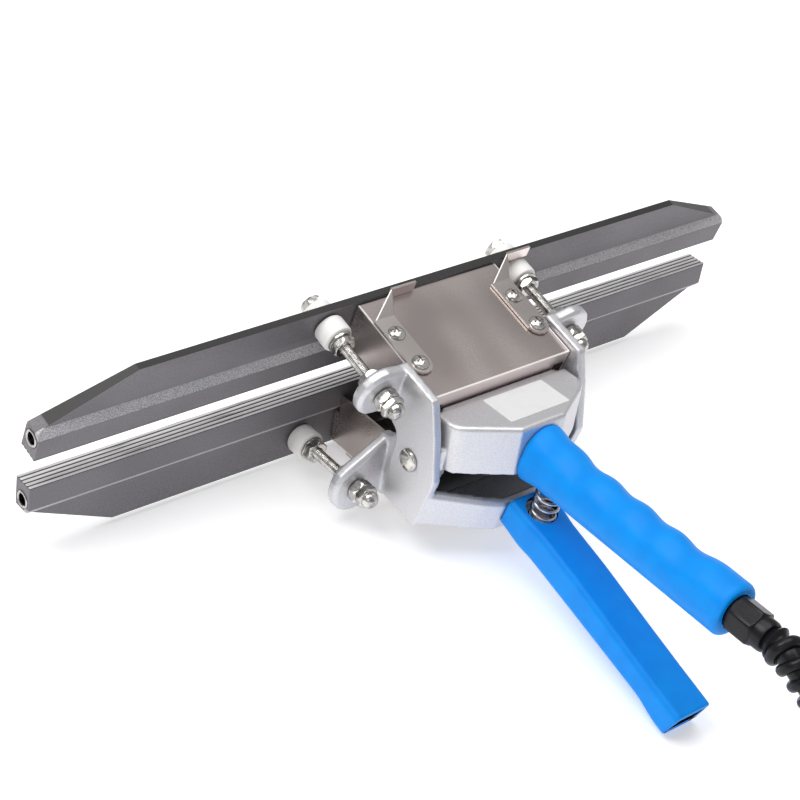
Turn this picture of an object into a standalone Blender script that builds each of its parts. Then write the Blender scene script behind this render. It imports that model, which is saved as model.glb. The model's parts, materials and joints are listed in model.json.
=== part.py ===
"""Handheld heat sealer: two long heated jaws on a pair of crossed levers, squeezed shut by two grips.

Every lever piece is modelled in the closed position, with the pivot at the origin, the jaws towards +Y
and the grips towards -Y. Two empties on the pivot then open the levers and stand the tool on the floor.
The first lever carries the upper grip, the lower jaw and the cord; the second carries the lower grip
and the upper jaw.
"""
import math

import bmesh
import bpy
from mathutils import Matrix, Vector
from mathutils.geometry import interpolate_bezier

MM = 0.001

# Fits that the whole tool shares
TOUCH_GAP = 0.3 * MM
RUNNING_GAP = 0.5 * MM
CUT_OVERRUN = 2 * MM
WELD_DISTANCE = 0.001 * MM

# Opening of the levers at rest
OPEN_ANGLE = math.radians(14.4)

# Sealing jaws: length along X, section in Y and Z, measured from the pivot
JAW_LENGTH = 400 * MM
JAW_SIDE_SHIFT = 1.8 * MM
SEAL_REAR = 60 * MM
SEAL_WIDTH = 10.5 * MM
SEAL_CLEARANCE = 0.3 * MM
SEAL_GROOVES = 4
SEAL_GROOVE_DEPTH = 0.6 * MM
NOSE_HEIGHT = 12.2 * MM
NOSE_CREST = 16.2 * MM
NOSE_CREST_INSET = 3.3 * MM
JAW_HEIGHT = 35 * MM
FIN_THICKNESS = 3.6 * MM
FIN_REAR_INSET = 3.6 * MM
FIN_END_RUN = 44.7 * MM
FIN_END_START = 14.5 * MM

# Heater tube in each jaw
HEATER_RADIUS = 4 * MM
HEATER_WALL = 1.2 * MM
HEATER_REAR_INSET = 5.1 * MM
HEATER_HEIGHT = 9.2 * MM
HEATER_STANDOUT = 0.4 * MM
HEATER_SIDES = 16

# Levers: side plates, outer pair over inner pair
OUTER_PLATE_HALF_WIDTH = 44.7 * MM
OUTER_PLATE_THICKNESS = 4.3 * MM
INNER_PLATE_THICKNESS = 4.5 * MM
CAST_ROUNDING = 1.4 * MM
BODY_WALL_STEP = 0.2 * MM

# Outer plate outline, shares of its length from the rear and of its height from the bottom
OUTER_PLATE_REAR = 17.1 * MM
OUTER_PLATE_TOP = 36.9 * MM
OUTER_PLATE_BOTTOM = 29.3 * MM
OUTER_PLATE_SHARES = (
    (0.00, 0.05), (0.00, 0.48), (0.22, 0.781), (0.405, 0.985), (0.43, 1.0), (0.97, 0.992), (1.0, 0.975),
    (1.0, 0.62), (0.97, 0.57), (0.90, 0.557), (0.80, 0.557), (0.71, 0.533), (0.66, 0.485), (0.64, 0.42),
    (0.625, 0.335), (0.555, 0.04), (0.515, 0.0), (0.03, 0.03),
)

# Inner plate outline, ahead of the upper casting, shares of its length and of its height
INNER_PLATE_REAR = 14 * MM
INNER_PLATE_TOP = 12.8 * MM
INNER_PLATE_BOTTOM = 33.2 * MM
INNER_PLATE_SHARES = (
    (0.00, 1.0), (0.45, 1.0), (0.60, 0.86), (0.85, 0.69), (0.98, 0.66), (1.0, 0.63), (1.0, 0.02),
    (0.98, 0.0), (0.80, 0.0), (0.77, 0.03), (0.73, 0.25), (0.67, 0.42), (0.55, 0.50), (0.35, 0.45),
    (0.15, 0.50), (0.05, 0.62), (0.00, 0.75),
)

# Lugs that carry the jaw bolts
LUG_FRONT = 26 * MM
LUG_THICKNESS = 6.2 * MM
LUG_RADIUS = 12.6 * MM
LUG_ARC_STEPS = 9
LUG_ROOT = 3 * MM
LUG_ROOT_TOP = 36.2 * MM
LUG_ROOT_BOTTOM = 12 * MM
LOWER_LUG_ROOT_TOP = 33 * MM
LOWER_LUG_ROOT_BOTTOM = 3.2 * MM

# Upper casting, seen from above: a straight front, then walls that run together into the grip
UPPER_BODY_HEIGHT = 27 * MM
UPPER_BODY_FOOT = 2.2 * MM
UPPER_BODY_FRONT = 3.4 * MM
UPPER_BODY_HALF_WIDTH = 38.3 * MM
UPPER_BODY_SHOULDER = 17.6 * MM
UPPER_BODY_CORNER = 5 * MM
CORNER_STEPS = 3
UPPER_BODY_REAR = 33 * MM
UPPER_BODY_REAR_HALF_WIDTH = 12.5 * MM
UPPER_BODY_ROUNDING = 1.6 * MM
UPPER_BODY_ROOF = 4 * MM
UPPER_BODY_FRONT_FALL = 1.4 * MM
UPPER_BODY_LIP_FRONT = 2 * MM
UPPER_BODY_LIP_LENGTH = 8 * MM
UPPER_TANG_RADIUS = 7.6 * MM
UPPER_TANG_AXIS_HEIGHT = 11.1 * MM
UPPER_TANG_BORE = 4.7 * MM
UPPER_TANG_END = 149 * MM
UPPER_TANG_SIDES = 18

# Lower casting
LOWER_BODY_TOP = 5.4 * MM
LOWER_BODY_REAR_FALL = 2.4 * MM
LOWER_BODY_BOTTOM = 26 * MM
LOWER_BODY_FRONT = 9 * MM
LOWER_BODY_SHOULDER = 16.6 * MM
LOWER_BODY_WAIST = 30 * MM
LOWER_BODY_WAIST_HALF_WIDTH = 21 * MM
LOWER_BODY_REAR = 34.3 * MM
LOWER_BODY_REAR_HALF_WIDTH = 11.4 * MM
LOWER_BODY_FLOOR = 4 * MM
LOWER_TANG_END = 132 * MM

# Upper grip: a round sleeve with finger waves along its top
UPPER_GRIP_RADIUS = 11.6 * MM
UPPER_GRIP_AXIS_HEIGHT = 9.05 * MM
UPPER_GRIP_END = 153.5 * MM
UPPER_GRIP_END_ROUNDING = 3 * MM
UPPER_GRIP_SWELL = 1.3 * MM
UPPER_GRIP_FRONT_RISE = 1.7 * MM
FRONT_SWELL_END = 48 * MM
REAR_SWELL_START = 138 * MM
SWELL_RUN = 10 * MM
FINGER_RISE = 1.5 * MM
FINGER_PITCH = 20.3 * MM
FINGER_DEPTH = 1.4 * MM
FINGER_FIRST_CREST = 72 * MM
FINGER_STEPS = 6
FINGER_CENTRE = math.radians(67.5)
FINGER_SPREAD_SHARE = 0.6
UPPER_GRIP_SIDES = 20

# Lower grip: a flat-sided sleeve, its section given at stations along it
LOWER_GRIP_END = 155.8 * MM
LOWER_GRIP_END_LEAN = 2.6 * MM
LOWER_GRIP_HALF_WIDTH = 10.4 * MM
LOWER_GRIP_COLLAR = 0.9 * MM
LOWER_GRIP_TOP = 4 * MM
LOWER_GRIP_TOP_DROP = 5.6 * MM
LOWER_GRIP_BOTTOM = 20.4 * MM
LOWER_GRIP_HEEL = 5.8 * MM
LOWER_GRIP_TOP_CORNER = 3.2 * MM
LOWER_GRIP_BOTTOM_CORNER = 4.4 * MM
LOWER_GRIP_CORNER_STEPS = 3
LOWER_GRIP_WALL = 3.2 * MM
# Station along the grip, share of the collar, of the top's drop and of the heel
LOWER_GRIP_STATION_SHARES = (
    (0.0, 1.0, 0.0, 0.0), (0.12, 1.0, 0.0, 0.22), (0.17, 0.0, 0.02, 0.24), (0.38, 0.0, 0.14, 0.3),
    (0.64, 0.0, 0.56, 0.4), (0.83, 0.0, 0.82, 0.5), (0.91, 0.0, 0.9, 0.92), (1.0, 0.0, 1.0, 1.0),
)

# Return spring between the grips
SPRING_REACH = 44.5 * MM
SPRING_OUTER_RADIUS = 6.4 * MM
SPRING_WIRE_RADIUS = 0.6 * MM
SPRING_CURLS = 5
SPRING_CURL_STEPS = 10
SPRING_POCKET_RADIUS = 7.6 * MM
UPPER_SPRING_SEAT = 2.8 * MM
LOWER_SPRING_SEAT = 11 * MM
SPRING_POCKET_SIDES = 18

# Sheet covers behind the jaws
COVER_THICKNESS = 1 * MM
COVER_JAW_GAP = 0.4 * MM
UPPER_COVER_TOP = 33.4 * MM
UPPER_COVER_REAR = 4.9 * MM
UPPER_COVER_SKIRT = 6 * MM
UPPER_COVER_REAR_SKIRT = 14 * MM
UPPER_COVER_SKIRT_STEP = 22 * MM
UPPER_COVER_FLANGE = 10 * MM
UPPER_COVER_NOTCH_WIDTH = 7 * MM
UPPER_COVER_NOTCH_HEIGHT = 3.4 * MM
LOWER_COVER_REAR = 5 * MM
LOWER_COVER_RIM = 6.5 * MM
LOWER_COVER_DEPTH = 33.4 * MM

# Brackets on the covers
BRACKET_SIDE_INSET = 5.7 * MM
BRACKET_WIDTH = 11 * MM
BRACKET_REAR = 17.5 * MM
BRACKET_FRONT = 51.5 * MM
BRACKET_THICKNESS = 1.2 * MM
BRACKET_SCREW_REAR = 23.5 * MM
BRACKET_SCREW_FRONT = 41.6 * MM
BRACKET_END_STEPS = 6
BRACKET_FLANGE_START = 10.5 * MM
BRACKET_FLANGE_LENGTH = 14 * MM
BRACKET_FLANGE_HEIGHT = 5.6 * MM
BRACKET_FLANGE_RISE = 5.4 * MM

# Round-headed screws
SMALL_SCREW_HEAD_RADIUS = 4 * MM
SMALL_SCREW_HEAD_HEIGHT = 2.4 * MM
SMALL_SCREW_SHANK_RADIUS = 2 * MM
SMALL_SCREW_SHANK = 5 * MM
PIVOT_HEAD_RADIUS = 5.6 * MM
PIVOT_HEAD_HEIGHT = 2.4 * MM
PIVOT_SHANK_RADIUS = 4 * MM
PIVOT_SHANK_STANDOUT = 1.2 * MM
SCREW_SIDES = 14
HEAD_DOME_SHARES = ((1.0, 0.0), (1.0, 0.35), (0.84, 0.8), (0.45, 1.0))

# Jaw bolts with their insulators and nuts
BOLT_STANDOFF = 9.5 * MM
BOLT_HEIGHT = 25.5 * MM
BOLT_RADIUS = 2.65 * MM
BOLT_HEAD_FLATS = 10 * MM
BOLT_HEAD_HEIGHT = 4 * MM
BOLT_TAIL = 11.4 * MM
HEX_SIDES = 12
HEX_CHAMFER = 0.8 * MM
NUT_FLATS = 10 * MM
NUT_HEIGHT = 5 * MM
INSULATOR_RADIUS = 7.2 * MM
INSULATOR_ROUNDING = 0.7 * MM
FRONT_INSULATOR_LENGTH = 5.5 * MM
REAR_INSULATOR_LENGTH = 9 * MM
INSULATOR_SIDES = 18
SPOT_FACE_INSET = 3.2 * MM
ACORN_HEX_HEIGHT = 3 * MM
ACORN_HEIGHT = 7.4 * MM
ACORN_DOME_RADIUS = 4.1 * MM
ACORN_DOME_SHARES = ((1.0, 0.15), (0.87, 0.55), (0.55, 0.88), (0.2, 1.0))

# Gland at the end of the upper grip
GLAND_FLATS = 15.2 * MM
GLAND_LENGTH = 13.5 * MM
GLAND_NOSE_RADIUS = 7.2 * MM
GLAND_NOSE_LENGTH = 5.5 * MM
GLAND_SPIGOT_RADIUS = 4.4 * MM
GLAND_SPIGOT_LENGTH = 8 * MM
GLAND_CHAMFER = 1.2 * MM

# Cord
CORD_RADIUS = 3.5 * MM
CORD_STEP = 15 * MM
CORD_FLOOR_GAP = 0.05 * MM

# Spiral strain relief round the cord
RELIEF_TURNS = 6
RELIEF_PITCH = 7.8 * MM
RELIEF_TURN_STEPS = 12
RELIEF_CORD_GAP = 0.75 * MM
RELIEF_RIB_RADIUS = 2.2 * MM
RELIEF_TIP_RIB_RADIUS = 1.5 * MM

# Coil of the rest of the cord, on the floor behind the tool
COIL_CENTRE = (95 * MM, -197 * MM)
COIL_RADIUS = 44 * MM
COIL_PITCH = 7.6 * MM
COIL_LAYERS = 4
COIL_LOOP_STEPS = 24
COIL_LAYER_STEPS = 36
COIL_STEPS = 150

# Hand-chosen points of the cord's free route, in the world, from the gland to the coil
CORD_ROUTE = (
    (-1.8, -140, 76.5), (-1.8, -153, 71), (-1.4, -165, 60), (-0.3, -175, 44), (2.2, -185, 28),
    (7.5, -197, 14), (16, -212, 6.5), (28, -227, 3.9), (45, -237, 3.55), (64, -241, 3.55),
)
# And from the coil's upper end to the plug
TAIL_ROUTE = ((143.2, -175, 26.2), (146, -161, 23.6), (148.3, -147, 19.8), (149, -133, 18.1))

# Plug
PLUG_PLACE = (149 * MM, -117 * MM)
PLUG_RADIUS = 18 * MM
PLUG_NECK_RADIUS = 5.2 * MM
PLUG_LENGTH = 44 * MM
PLUG_SIDES = 20
# Radius between neck and body, and place along the plug
PLUG_PROFILE_SHARES = (
    (0.0, 0.0), (0.1, 0.32), (0.35, 0.45), (0.85, 0.62), (1.0, 0.74), (1.0, 0.97), (0.94, 1.0),
)
PIN_RADIUS = 2.4 * MM
PIN_LENGTH = 19 * MM
PIN_SPACING = 19 * MM
PIN_SIDES = 10

# Values worked out from the sizes above
HALF_JAW = JAW_LENGTH / 2
SEAL_FRONT = SEAL_REAR + SEAL_WIDTH
FIN_REAR = SEAL_REAR + FIN_REAR_INSET
FIN_FRONT = FIN_REAR + FIN_THICKNESS
SPOT_FACE = SEAL_FRONT - SPOT_FACE_INSET
OUTER_PLATE_INSIDE = OUTER_PLATE_HALF_WIDTH - OUTER_PLATE_THICKNESS
INNER_PLATE_HALF_WIDTH = OUTER_PLATE_INSIDE - RUNNING_GAP
INNER_PLATE_INSIDE = INNER_PLATE_HALF_WIDTH - INNER_PLATE_THICKNESS
LUG_REAR = LUG_FRONT - LUG_THICKNESS
BOLT_OFFSET = OUTER_PLATE_HALF_WIDTH + BOLT_STANDOFF
PIVOT_END_HALF_WIDTH = INNER_PLATE_INSIDE - PIVOT_SHANK_STANDOUT
BORE_RADIUS = BOLT_RADIUS + TOUCH_GAP
COVER_FRONT = SEAL_REAR + NOSE_CREST_INSET - COVER_JAW_GAP
UPPER_COVER_HALF_WIDTH = OUTER_PLATE_INSIDE - RUNNING_GAP
LOWER_COVER_HALF_WIDTH = INNER_PLATE_INSIDE - RUNNING_GAP
UPPER_BRACKET_OFFSET = UPPER_COVER_HALF_WIDTH - BRACKET_SIDE_INSET
LOWER_BRACKET_OFFSET = LOWER_COVER_HALF_WIDTH - BRACKET_SIDE_INSET
REAR_INSULATOR_FRONT = SEAL_REAR + NOSE_CREST_INSET - TOUCH_GAP
GLAND_FRONT = UPPER_TANG_END + TOUCH_GAP
GLAND_COLLAR_RADIUS = UPPER_TANG_RADIUS
GLAND_HEX_FRONT = UPPER_GRIP_END + TOUCH_GAP
GLAND_REAR = GLAND_HEX_FRONT + GLAND_LENGTH + GLAND_NOSE_LENGTH
SPRING_COIL_RADIUS = SPRING_OUTER_RADIUS - SPRING_WIRE_RADIUS
LOWER_GRIP_FRONT = LOWER_BODY_REAR + TOUCH_GAP
UPPER_GRIP_FRONT = UPPER_BODY_REAR + TOUCH_GAP
COIL_FIRST_HEIGHT = CORD_RADIUS + CORD_FLOOR_GAP

# Finishes: sRGB colour in 255ths, roughness, metallic
FINISHES = {
    "jaw_coating": ((112, 108, 114), 0.42, 0.35),
    "cast_aluminium": ((195, 195, 200), 0.38, 0.8),
    "stainless_sheet": ((146, 137, 130), 0.3, 0.95),
    "nickel_steel": ((205, 205, 200), 0.22, 1.0),
    "white_insulator": ((244, 242, 238), 0.5, 0.0),
    "blue_grip": ((35, 145, 240), 0.45, 0.0),
    "spring_steel": ((176, 176, 176), 0.28, 1.0),
    "black_nylon": ((34, 32, 38), 0.45, 0.0),
    "black_cord": ((26, 26, 28), 0.55, 0.0),
}


def clear_scene():
    """Remove whatever the scene holds."""
    for item in list(bpy.data.objects):
        bpy.data.objects.remove(item, do_unlink=True)


def linear(channel):
    """Turn an sRGB channel in 255ths into a linear share."""
    share = channel / 255
    return share / 12.92 if share <= 0.04045 else ((share + 0.055) / 1.055) ** 2.4


def finish(name):
    """Return the material of a finish, made on first use."""
    found = bpy.data.materials.get(name)
    if found:
        return found
    colour, roughness, metallic = FINISHES[name]
    made = bpy.data.materials.new(name)
    made.use_nodes = True
    shader = made.node_tree.nodes["Principled BSDF"]
    shader.inputs["Base Color"].default_value = (*(linear(c) for c in colour), 1.0)
    shader.inputs["Roughness"].default_value = roughness
    shader.inputs["Metallic"].default_value = metallic
    return made


def ring(radius, y, sides, centre=(0.0, 0.0), turn=0.0):
    """Points round the Y direction; the radius is a length or a function of the angle."""
    points = []
    for step in range(sides):
        angle = turn + 2 * math.pi * step / sides
        reach = radius(angle) if callable(radius) else radius
        points.append(Vector((centre[0] + reach * math.cos(angle), y, centre[1] + reach * math.sin(angle))))
    return points


def hexagon(flats, corner_limit=None):
    """Radius of a hexagon at an angle, cut back to a circle where a limit is given."""
    def radius(angle):
        reach = flats / 2 / math.cos((angle % (math.pi / 3)) - math.pi / 6)
        return min(reach, corner_limit) if corner_limit else reach
    return radius


def smooth_faces(mesh, degrees=35):
    """Shade a mesh smooth, except over its sharp edges."""
    mesh.shade_smooth()
    mesh.set_sharp_from_angle(angle=math.radians(degrees))


def mesh_from(bm, name):
    """Close a bmesh into a mesh with its faces pointing out."""
    bmesh.ops.remove_doubles(bm, verts=bm.verts, dist=WELD_DISTANCE)
    bmesh.ops.recalc_face_normals(bm, faces=bm.faces)
    mesh = bpy.data.meshes.new(name)
    bm.to_mesh(mesh)
    bm.free()
    smooth_faces(mesh)
    return mesh


def lofted(name, rings, looped=False, triangulated=False):
    """Skin a row of rings, capped at both ends or joined from the last back to the first."""
    bm = bmesh.new()
    rows = [[bm.verts.new(point) for point in points] for points in rings]
    pairs = list(zip(rows, rows[1:]))
    if looped:
        pairs.append((rows[-1], rows[0]))
    for low, high in pairs:
        count = len(low)
        for step in range(count):
            after = (step + 1) % count
            bm.faces.new((low[step], low[after], high[after], high[step]))
    if not looped:
        bm.faces.new(rows[0])
        bm.faces.new(rows[-1])
    if triangulated:
        bmesh.ops.triangulate(bm, faces=bm.faces)
    return mesh_from(bm, name)


def prism(name, outline, axis, low, high, rounding=0.0, segments=1, crisp_foot=False):
    """Extrude an outline along an axis, its edges and rims rounded if asked, but for a crisp foot."""
    bm = bmesh.new()
    place = {
        "X": lambda a, b: (low, a, b),
        "Y": lambda a, b: (a, low, b),
        "Z": lambda a, b: (a, b, low),
    }[axis]
    face = bm.faces.new([bm.verts.new(place(*point)) for point in outline])
    extruded = bmesh.ops.extrude_face_region(bm, geom=[face])
    moved = [item for item in extruded["geom"] if isinstance(item, bmesh.types.BMVert)]
    shift = Vector([high - low if letter == axis else 0.0 for letter in "XYZ"])
    bmesh.ops.translate(bm, verts=moved, vec=shift)
    bmesh.ops.recalc_face_normals(bm, faces=bm.faces)
    if rounding:
        raised = set(moved)
        corners = [edge for edge in bm.edges if edge.calc_face_angle(0.0) > math.radians(50)]
        sharp = [edge for edge in corners if not (crisp_foot and raised.isdisjoint(edge.verts))]
        bmesh.ops.bevel(bm, geom=sharp, offset=rounding, segments=segments, profile=0.5,
                        affect="EDGES", clamp_overlap=True)
    return mesh_from(bm, name)


def turned_corner(before, corner, after, reach):
    """Points of a rounding at an outline's corner, which starts and ends a reach away from it."""
    middle = Vector(corner)
    start = middle + (Vector(before) - middle).normalized() * reach
    end = middle + (Vector(after) - middle).normalized() * reach
    points = []
    for step in range(CORNER_STEPS + 1):
        share = step / CORNER_STEPS
        points.append(tuple(start.lerp(middle, share).lerp(middle.lerp(end, share), share)))
    return points


def lowered(mesh, level, kept, sunk, fall):
    """Let a mesh fall away above a level, from nothing at one place along Y to the whole fall at another."""
    for vertex in mesh.vertices:
        if vertex.co.z > level:
            vertex.co.z -= fall * (vertex.co.y - kept) / (sunk - kept)


def box(name, low, high):
    """A plain block between two corners."""
    outline = ((low[0], low[1]), (high[0], low[1]), (high[0], high[1]), (low[0], high[1]))
    return prism(name, outline, "Z", low[2], high[2])


def rod(name, radius, start, end, sides):
    """A cylinder between two points."""
    start, end = Vector(start), Vector(end)
    along = end - start
    turn = along.to_track_quat("Y", "Z").to_matrix().to_4x4()
    rings = [ring(radius, 0.0, sides), ring(radius, along.length, sides)]
    mesh = lofted(name, rings)
    mesh.transform(Matrix.Translation(start) @ turn)
    return mesh


def mirrored(mesh, normal=(1.0, 0.0, 0.0)):
    """A copy of a mesh on the other side of a plane through the pivot."""
    copy = mesh.copy()
    copy.transform(Matrix.Scale(-1.0, 4, normal))
    copy.flip_normals()
    return copy


def both_sides(mesh):
    """A mesh and its mirror image."""
    return [mesh, mirrored(mesh)]


def combined(name, base, joined=(), cut=()):
    """Join meshes to a base and cut others out of it, as one solid."""
    keeper = bpy.data.objects.new(name, base)
    bpy.context.collection.objects.link(keeper)
    helpers = []
    for operation, meshes in (("UNION", joined), ("DIFFERENCE", cut)):
        for mesh in meshes:
            helper = bpy.data.objects.new(name + "_helper", mesh)
            bpy.context.collection.objects.link(helper)
            helper.display_type = "WIRE"
            helper.hide_render = True
            helpers.append(helper)
            boolean = keeper.modifiers.new(operation.lower(), "BOOLEAN")
            boolean.operation = operation
            boolean.solver = "EXACT"
            boolean.object = helper
    evaluated = keeper.evaluated_get(bpy.context.evaluated_depsgraph_get())
    result = bpy.data.meshes.new_from_object(evaluated)
    for item in [keeper, *helpers]:
        bpy.data.objects.remove(item, do_unlink=True)
    result.materials.clear()
    result.name = name
    smooth_faces(result)
    return result


def add_piece(name, mesh, finish_name, lever=None, location=(0.0, 0.0, 0.0), rotation=(0.0, 0.0, 0.0)):
    """Put a mesh into the scene as a named sub-part on a lever."""
    if not mesh.materials:
        mesh.materials.append(finish(finish_name))
    piece = bpy.data.objects.new(name, mesh)
    bpy.context.collection.objects.link(piece)
    piece.parent = lever
    piece.location = location
    piece.rotation_euler = rotation
    return piece


def shares_outline(shares, low, high):
    """Scale shares of a box to an outline between its corners."""
    return [(low[0] + a * (high[0] - low[0]), low[1] + b * (high[1] - low[1])) for a, b in shares]


def inset(outline, distance):
    """Move each side of a convex outline inwards by a distance."""
    count = len(outline)
    middle = sum((Vector(point) for point in outline), Vector((0.0, 0.0))) / count
    lines = []
    for step in range(count):
        start = Vector(outline[step])
        along = (Vector(outline[(step + 1) % count]) - start).normalized()
        inwards = Vector((-along.y, along.x))
        if inwards.dot(middle - start) < 0:
            inwards.negate()
        lines.append((start + inwards * distance, along))
    corners = []
    for step in range(count):
        point, along = lines[step - 1]
        other, other_along = lines[step]
        reach = (other - point).cross(other_along) / along.cross(other_along)
        corners.append(tuple(point + along * reach))
    return corners


def symmetric(half_outline):
    """Complete an outline from its right half, front to rear."""
    return list(half_outline) + [(-x, y) for x, y in reversed(half_outline)]


def opened_front(outline):
    """Carry the two front corners of a symmetric outline forward, past the casting's front."""
    first, last = outline[0], outline[-1]
    return [(first[0], LUG_FRONT)] + outline[1:-1] + [(last[0], LUG_FRONT)]


def jaw_section():
    """Outline of the upper jaw in Y and Z, its sealing face scored by fine grooves."""
    face = SEAL_CLEARANCE / 2
    points = [(SEAL_REAR, face)]
    pitch = SEAL_WIDTH / (SEAL_GROOVES * 2 + 1)
    for groove in range(SEAL_GROOVES):
        start = SEAL_REAR + pitch * (groove * 2 + 1)
        points += [(start, face), (start + pitch / 2, face + SEAL_GROOVE_DEPTH), (start + pitch, face)]
    points += [
        (SEAL_FRONT, face), (SEAL_FRONT, NOSE_HEIGHT), (FIN_FRONT, JAW_HEIGHT), (FIN_REAR, JAW_HEIGHT),
        (SEAL_REAR + NOSE_CREST_INSET, NOSE_CREST), (SEAL_REAR, NOSE_HEIGHT),
    ]
    return points


def jaw_mesh():
    """The upper jaw about its own middle: a bar with its heater bore, and a fin cut back at both ends."""
    bar = prism("jaw", jaw_section(), "X", -HALF_JAW, HALF_JAW)
    past = HALF_JAW + CUT_OVERRUN
    slope = (JAW_HEIGHT - FIN_END_START) / FIN_END_RUN
    rise = CUT_OVERRUN
    wedge_outline = (
        (HALF_JAW - FIN_END_RUN - rise / slope, JAW_HEIGHT + rise),
        (past, FIN_END_START - CUT_OVERRUN * slope), (past, JAW_HEIGHT + rise),
    )
    wedge = prism("wedge", wedge_outline, "Y", SEAL_REAR - CUT_OVERRUN, SEAL_FRONT + CUT_OVERRUN)
    heater_place = (SEAL_REAR + HEATER_REAR_INSET, HEATER_HEIGHT)
    bore = rod("bore", HEATER_RADIUS + TOUCH_GAP, (-past, *heater_place), (past, *heater_place), HEATER_SIDES)
    cuts = both_sides(wedge) + [bore]
    for side in (-1, 1):
        place = side * BOLT_OFFSET - JAW_SIDE_SHIFT
        cuts.append(rod("bolt_bore", BORE_RADIUS, (place, SEAL_REAR, BOLT_HEIGHT),
                        (place, SEAL_FRONT, BOLT_HEIGHT), HEX_SIDES))
        cuts.append(rod("spot_face", INSULATOR_RADIUS + TOUCH_GAP, (place, SPOT_FACE, BOLT_HEIGHT),
                        (place, SEAL_FRONT + CUT_OVERRUN, BOLT_HEIGHT), INSULATOR_SIDES))
    return combined("jaw", bar, cut=cuts)


def add_jaws(levers):
    """Both jaws, each on the lever that crosses to it, with their heater tubes."""
    upper = jaw_mesh()
    lower = mirrored(upper, (0.0, 0.0, 1.0))
    end = HALF_JAW + HEATER_STANDOUT
    inner = HEATER_RADIUS - HEATER_WALL
    sides = HEATER_SIDES
    rings = [ring(HEATER_RADIUS, -end, sides), ring(HEATER_RADIUS, end, sides),
             ring(inner, end, sides), ring(inner, -end, sides)]
    tube = lofted("heater_tube", rings, looped=True)
    sides = (("upper", upper, levers["lower_grip"], 1), ("lower", lower, levers["upper_grip"], -1))
    for name, mesh, lever, up in sides:
        add_piece(name + "_jaw", mesh, "jaw_coating", lever, (JAW_SIDE_SHIFT, 0.0, 0.0))
        add_piece(name + "_heater_tube", tube, "nickel_steel", lever,
                  (JAW_SIDE_SHIFT, SEAL_REAR + HEATER_REAR_INSET, up * HEATER_HEIGHT),
                  (0.0, 0.0, math.pi / 2))


def lug_mesh(plate_face, root_top, root_bottom, up):
    """A lug that stands out sideways from a plate, rounded about its bolt."""
    start = plate_face - LUG_ROOT
    outline = [(start, up * root_bottom), (plate_face, up * root_bottom)]
    for step in range(LUG_ARC_STEPS):
        angle = math.radians(-62 + 152 * step / (LUG_ARC_STEPS - 1))
        outline.append((BOLT_OFFSET + LUG_RADIUS * math.cos(angle),
                        up * (BOLT_HEIGHT + LUG_RADIUS * math.sin(angle))))
    outline += [(plate_face, up * root_top), (start, up * root_top)]
    return prism("lug", outline, "Y", LUG_REAR, LUG_FRONT, CAST_ROUNDING)


def bolt_bores(up):
    """Cutters for the two jaw bolts through a lever's lugs."""
    return [
        rod("lug_bore", BORE_RADIUS, (side * BOLT_OFFSET, LUG_REAR - CUT_OVERRUN, up * BOLT_HEIGHT),
            (side * BOLT_OFFSET, LUG_FRONT + CUT_OVERRUN, up * BOLT_HEIGHT), HEX_SIDES)
        for side in (-1, 1)
    ]


def pivot_bore():
    """Cutter for the pivot screws, through both side plates of a lever."""
    past = OUTER_PLATE_HALF_WIDTH + CUT_OVERRUN
    return rod("pivot_bore", PIVOT_SHANK_RADIUS + TOUCH_GAP, (-past, 0.0, 0.0), (past, 0.0, 0.0), SCREW_SIDES)


def spring_pocket(low, high):
    """Cutter for the pocket that an end of the return spring stands in."""
    return rod("spring_pocket", SPRING_POCKET_RADIUS, (0.0, -SPRING_REACH, low), (0.0, -SPRING_REACH, high),
               SPRING_POCKET_SIDES)


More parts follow.
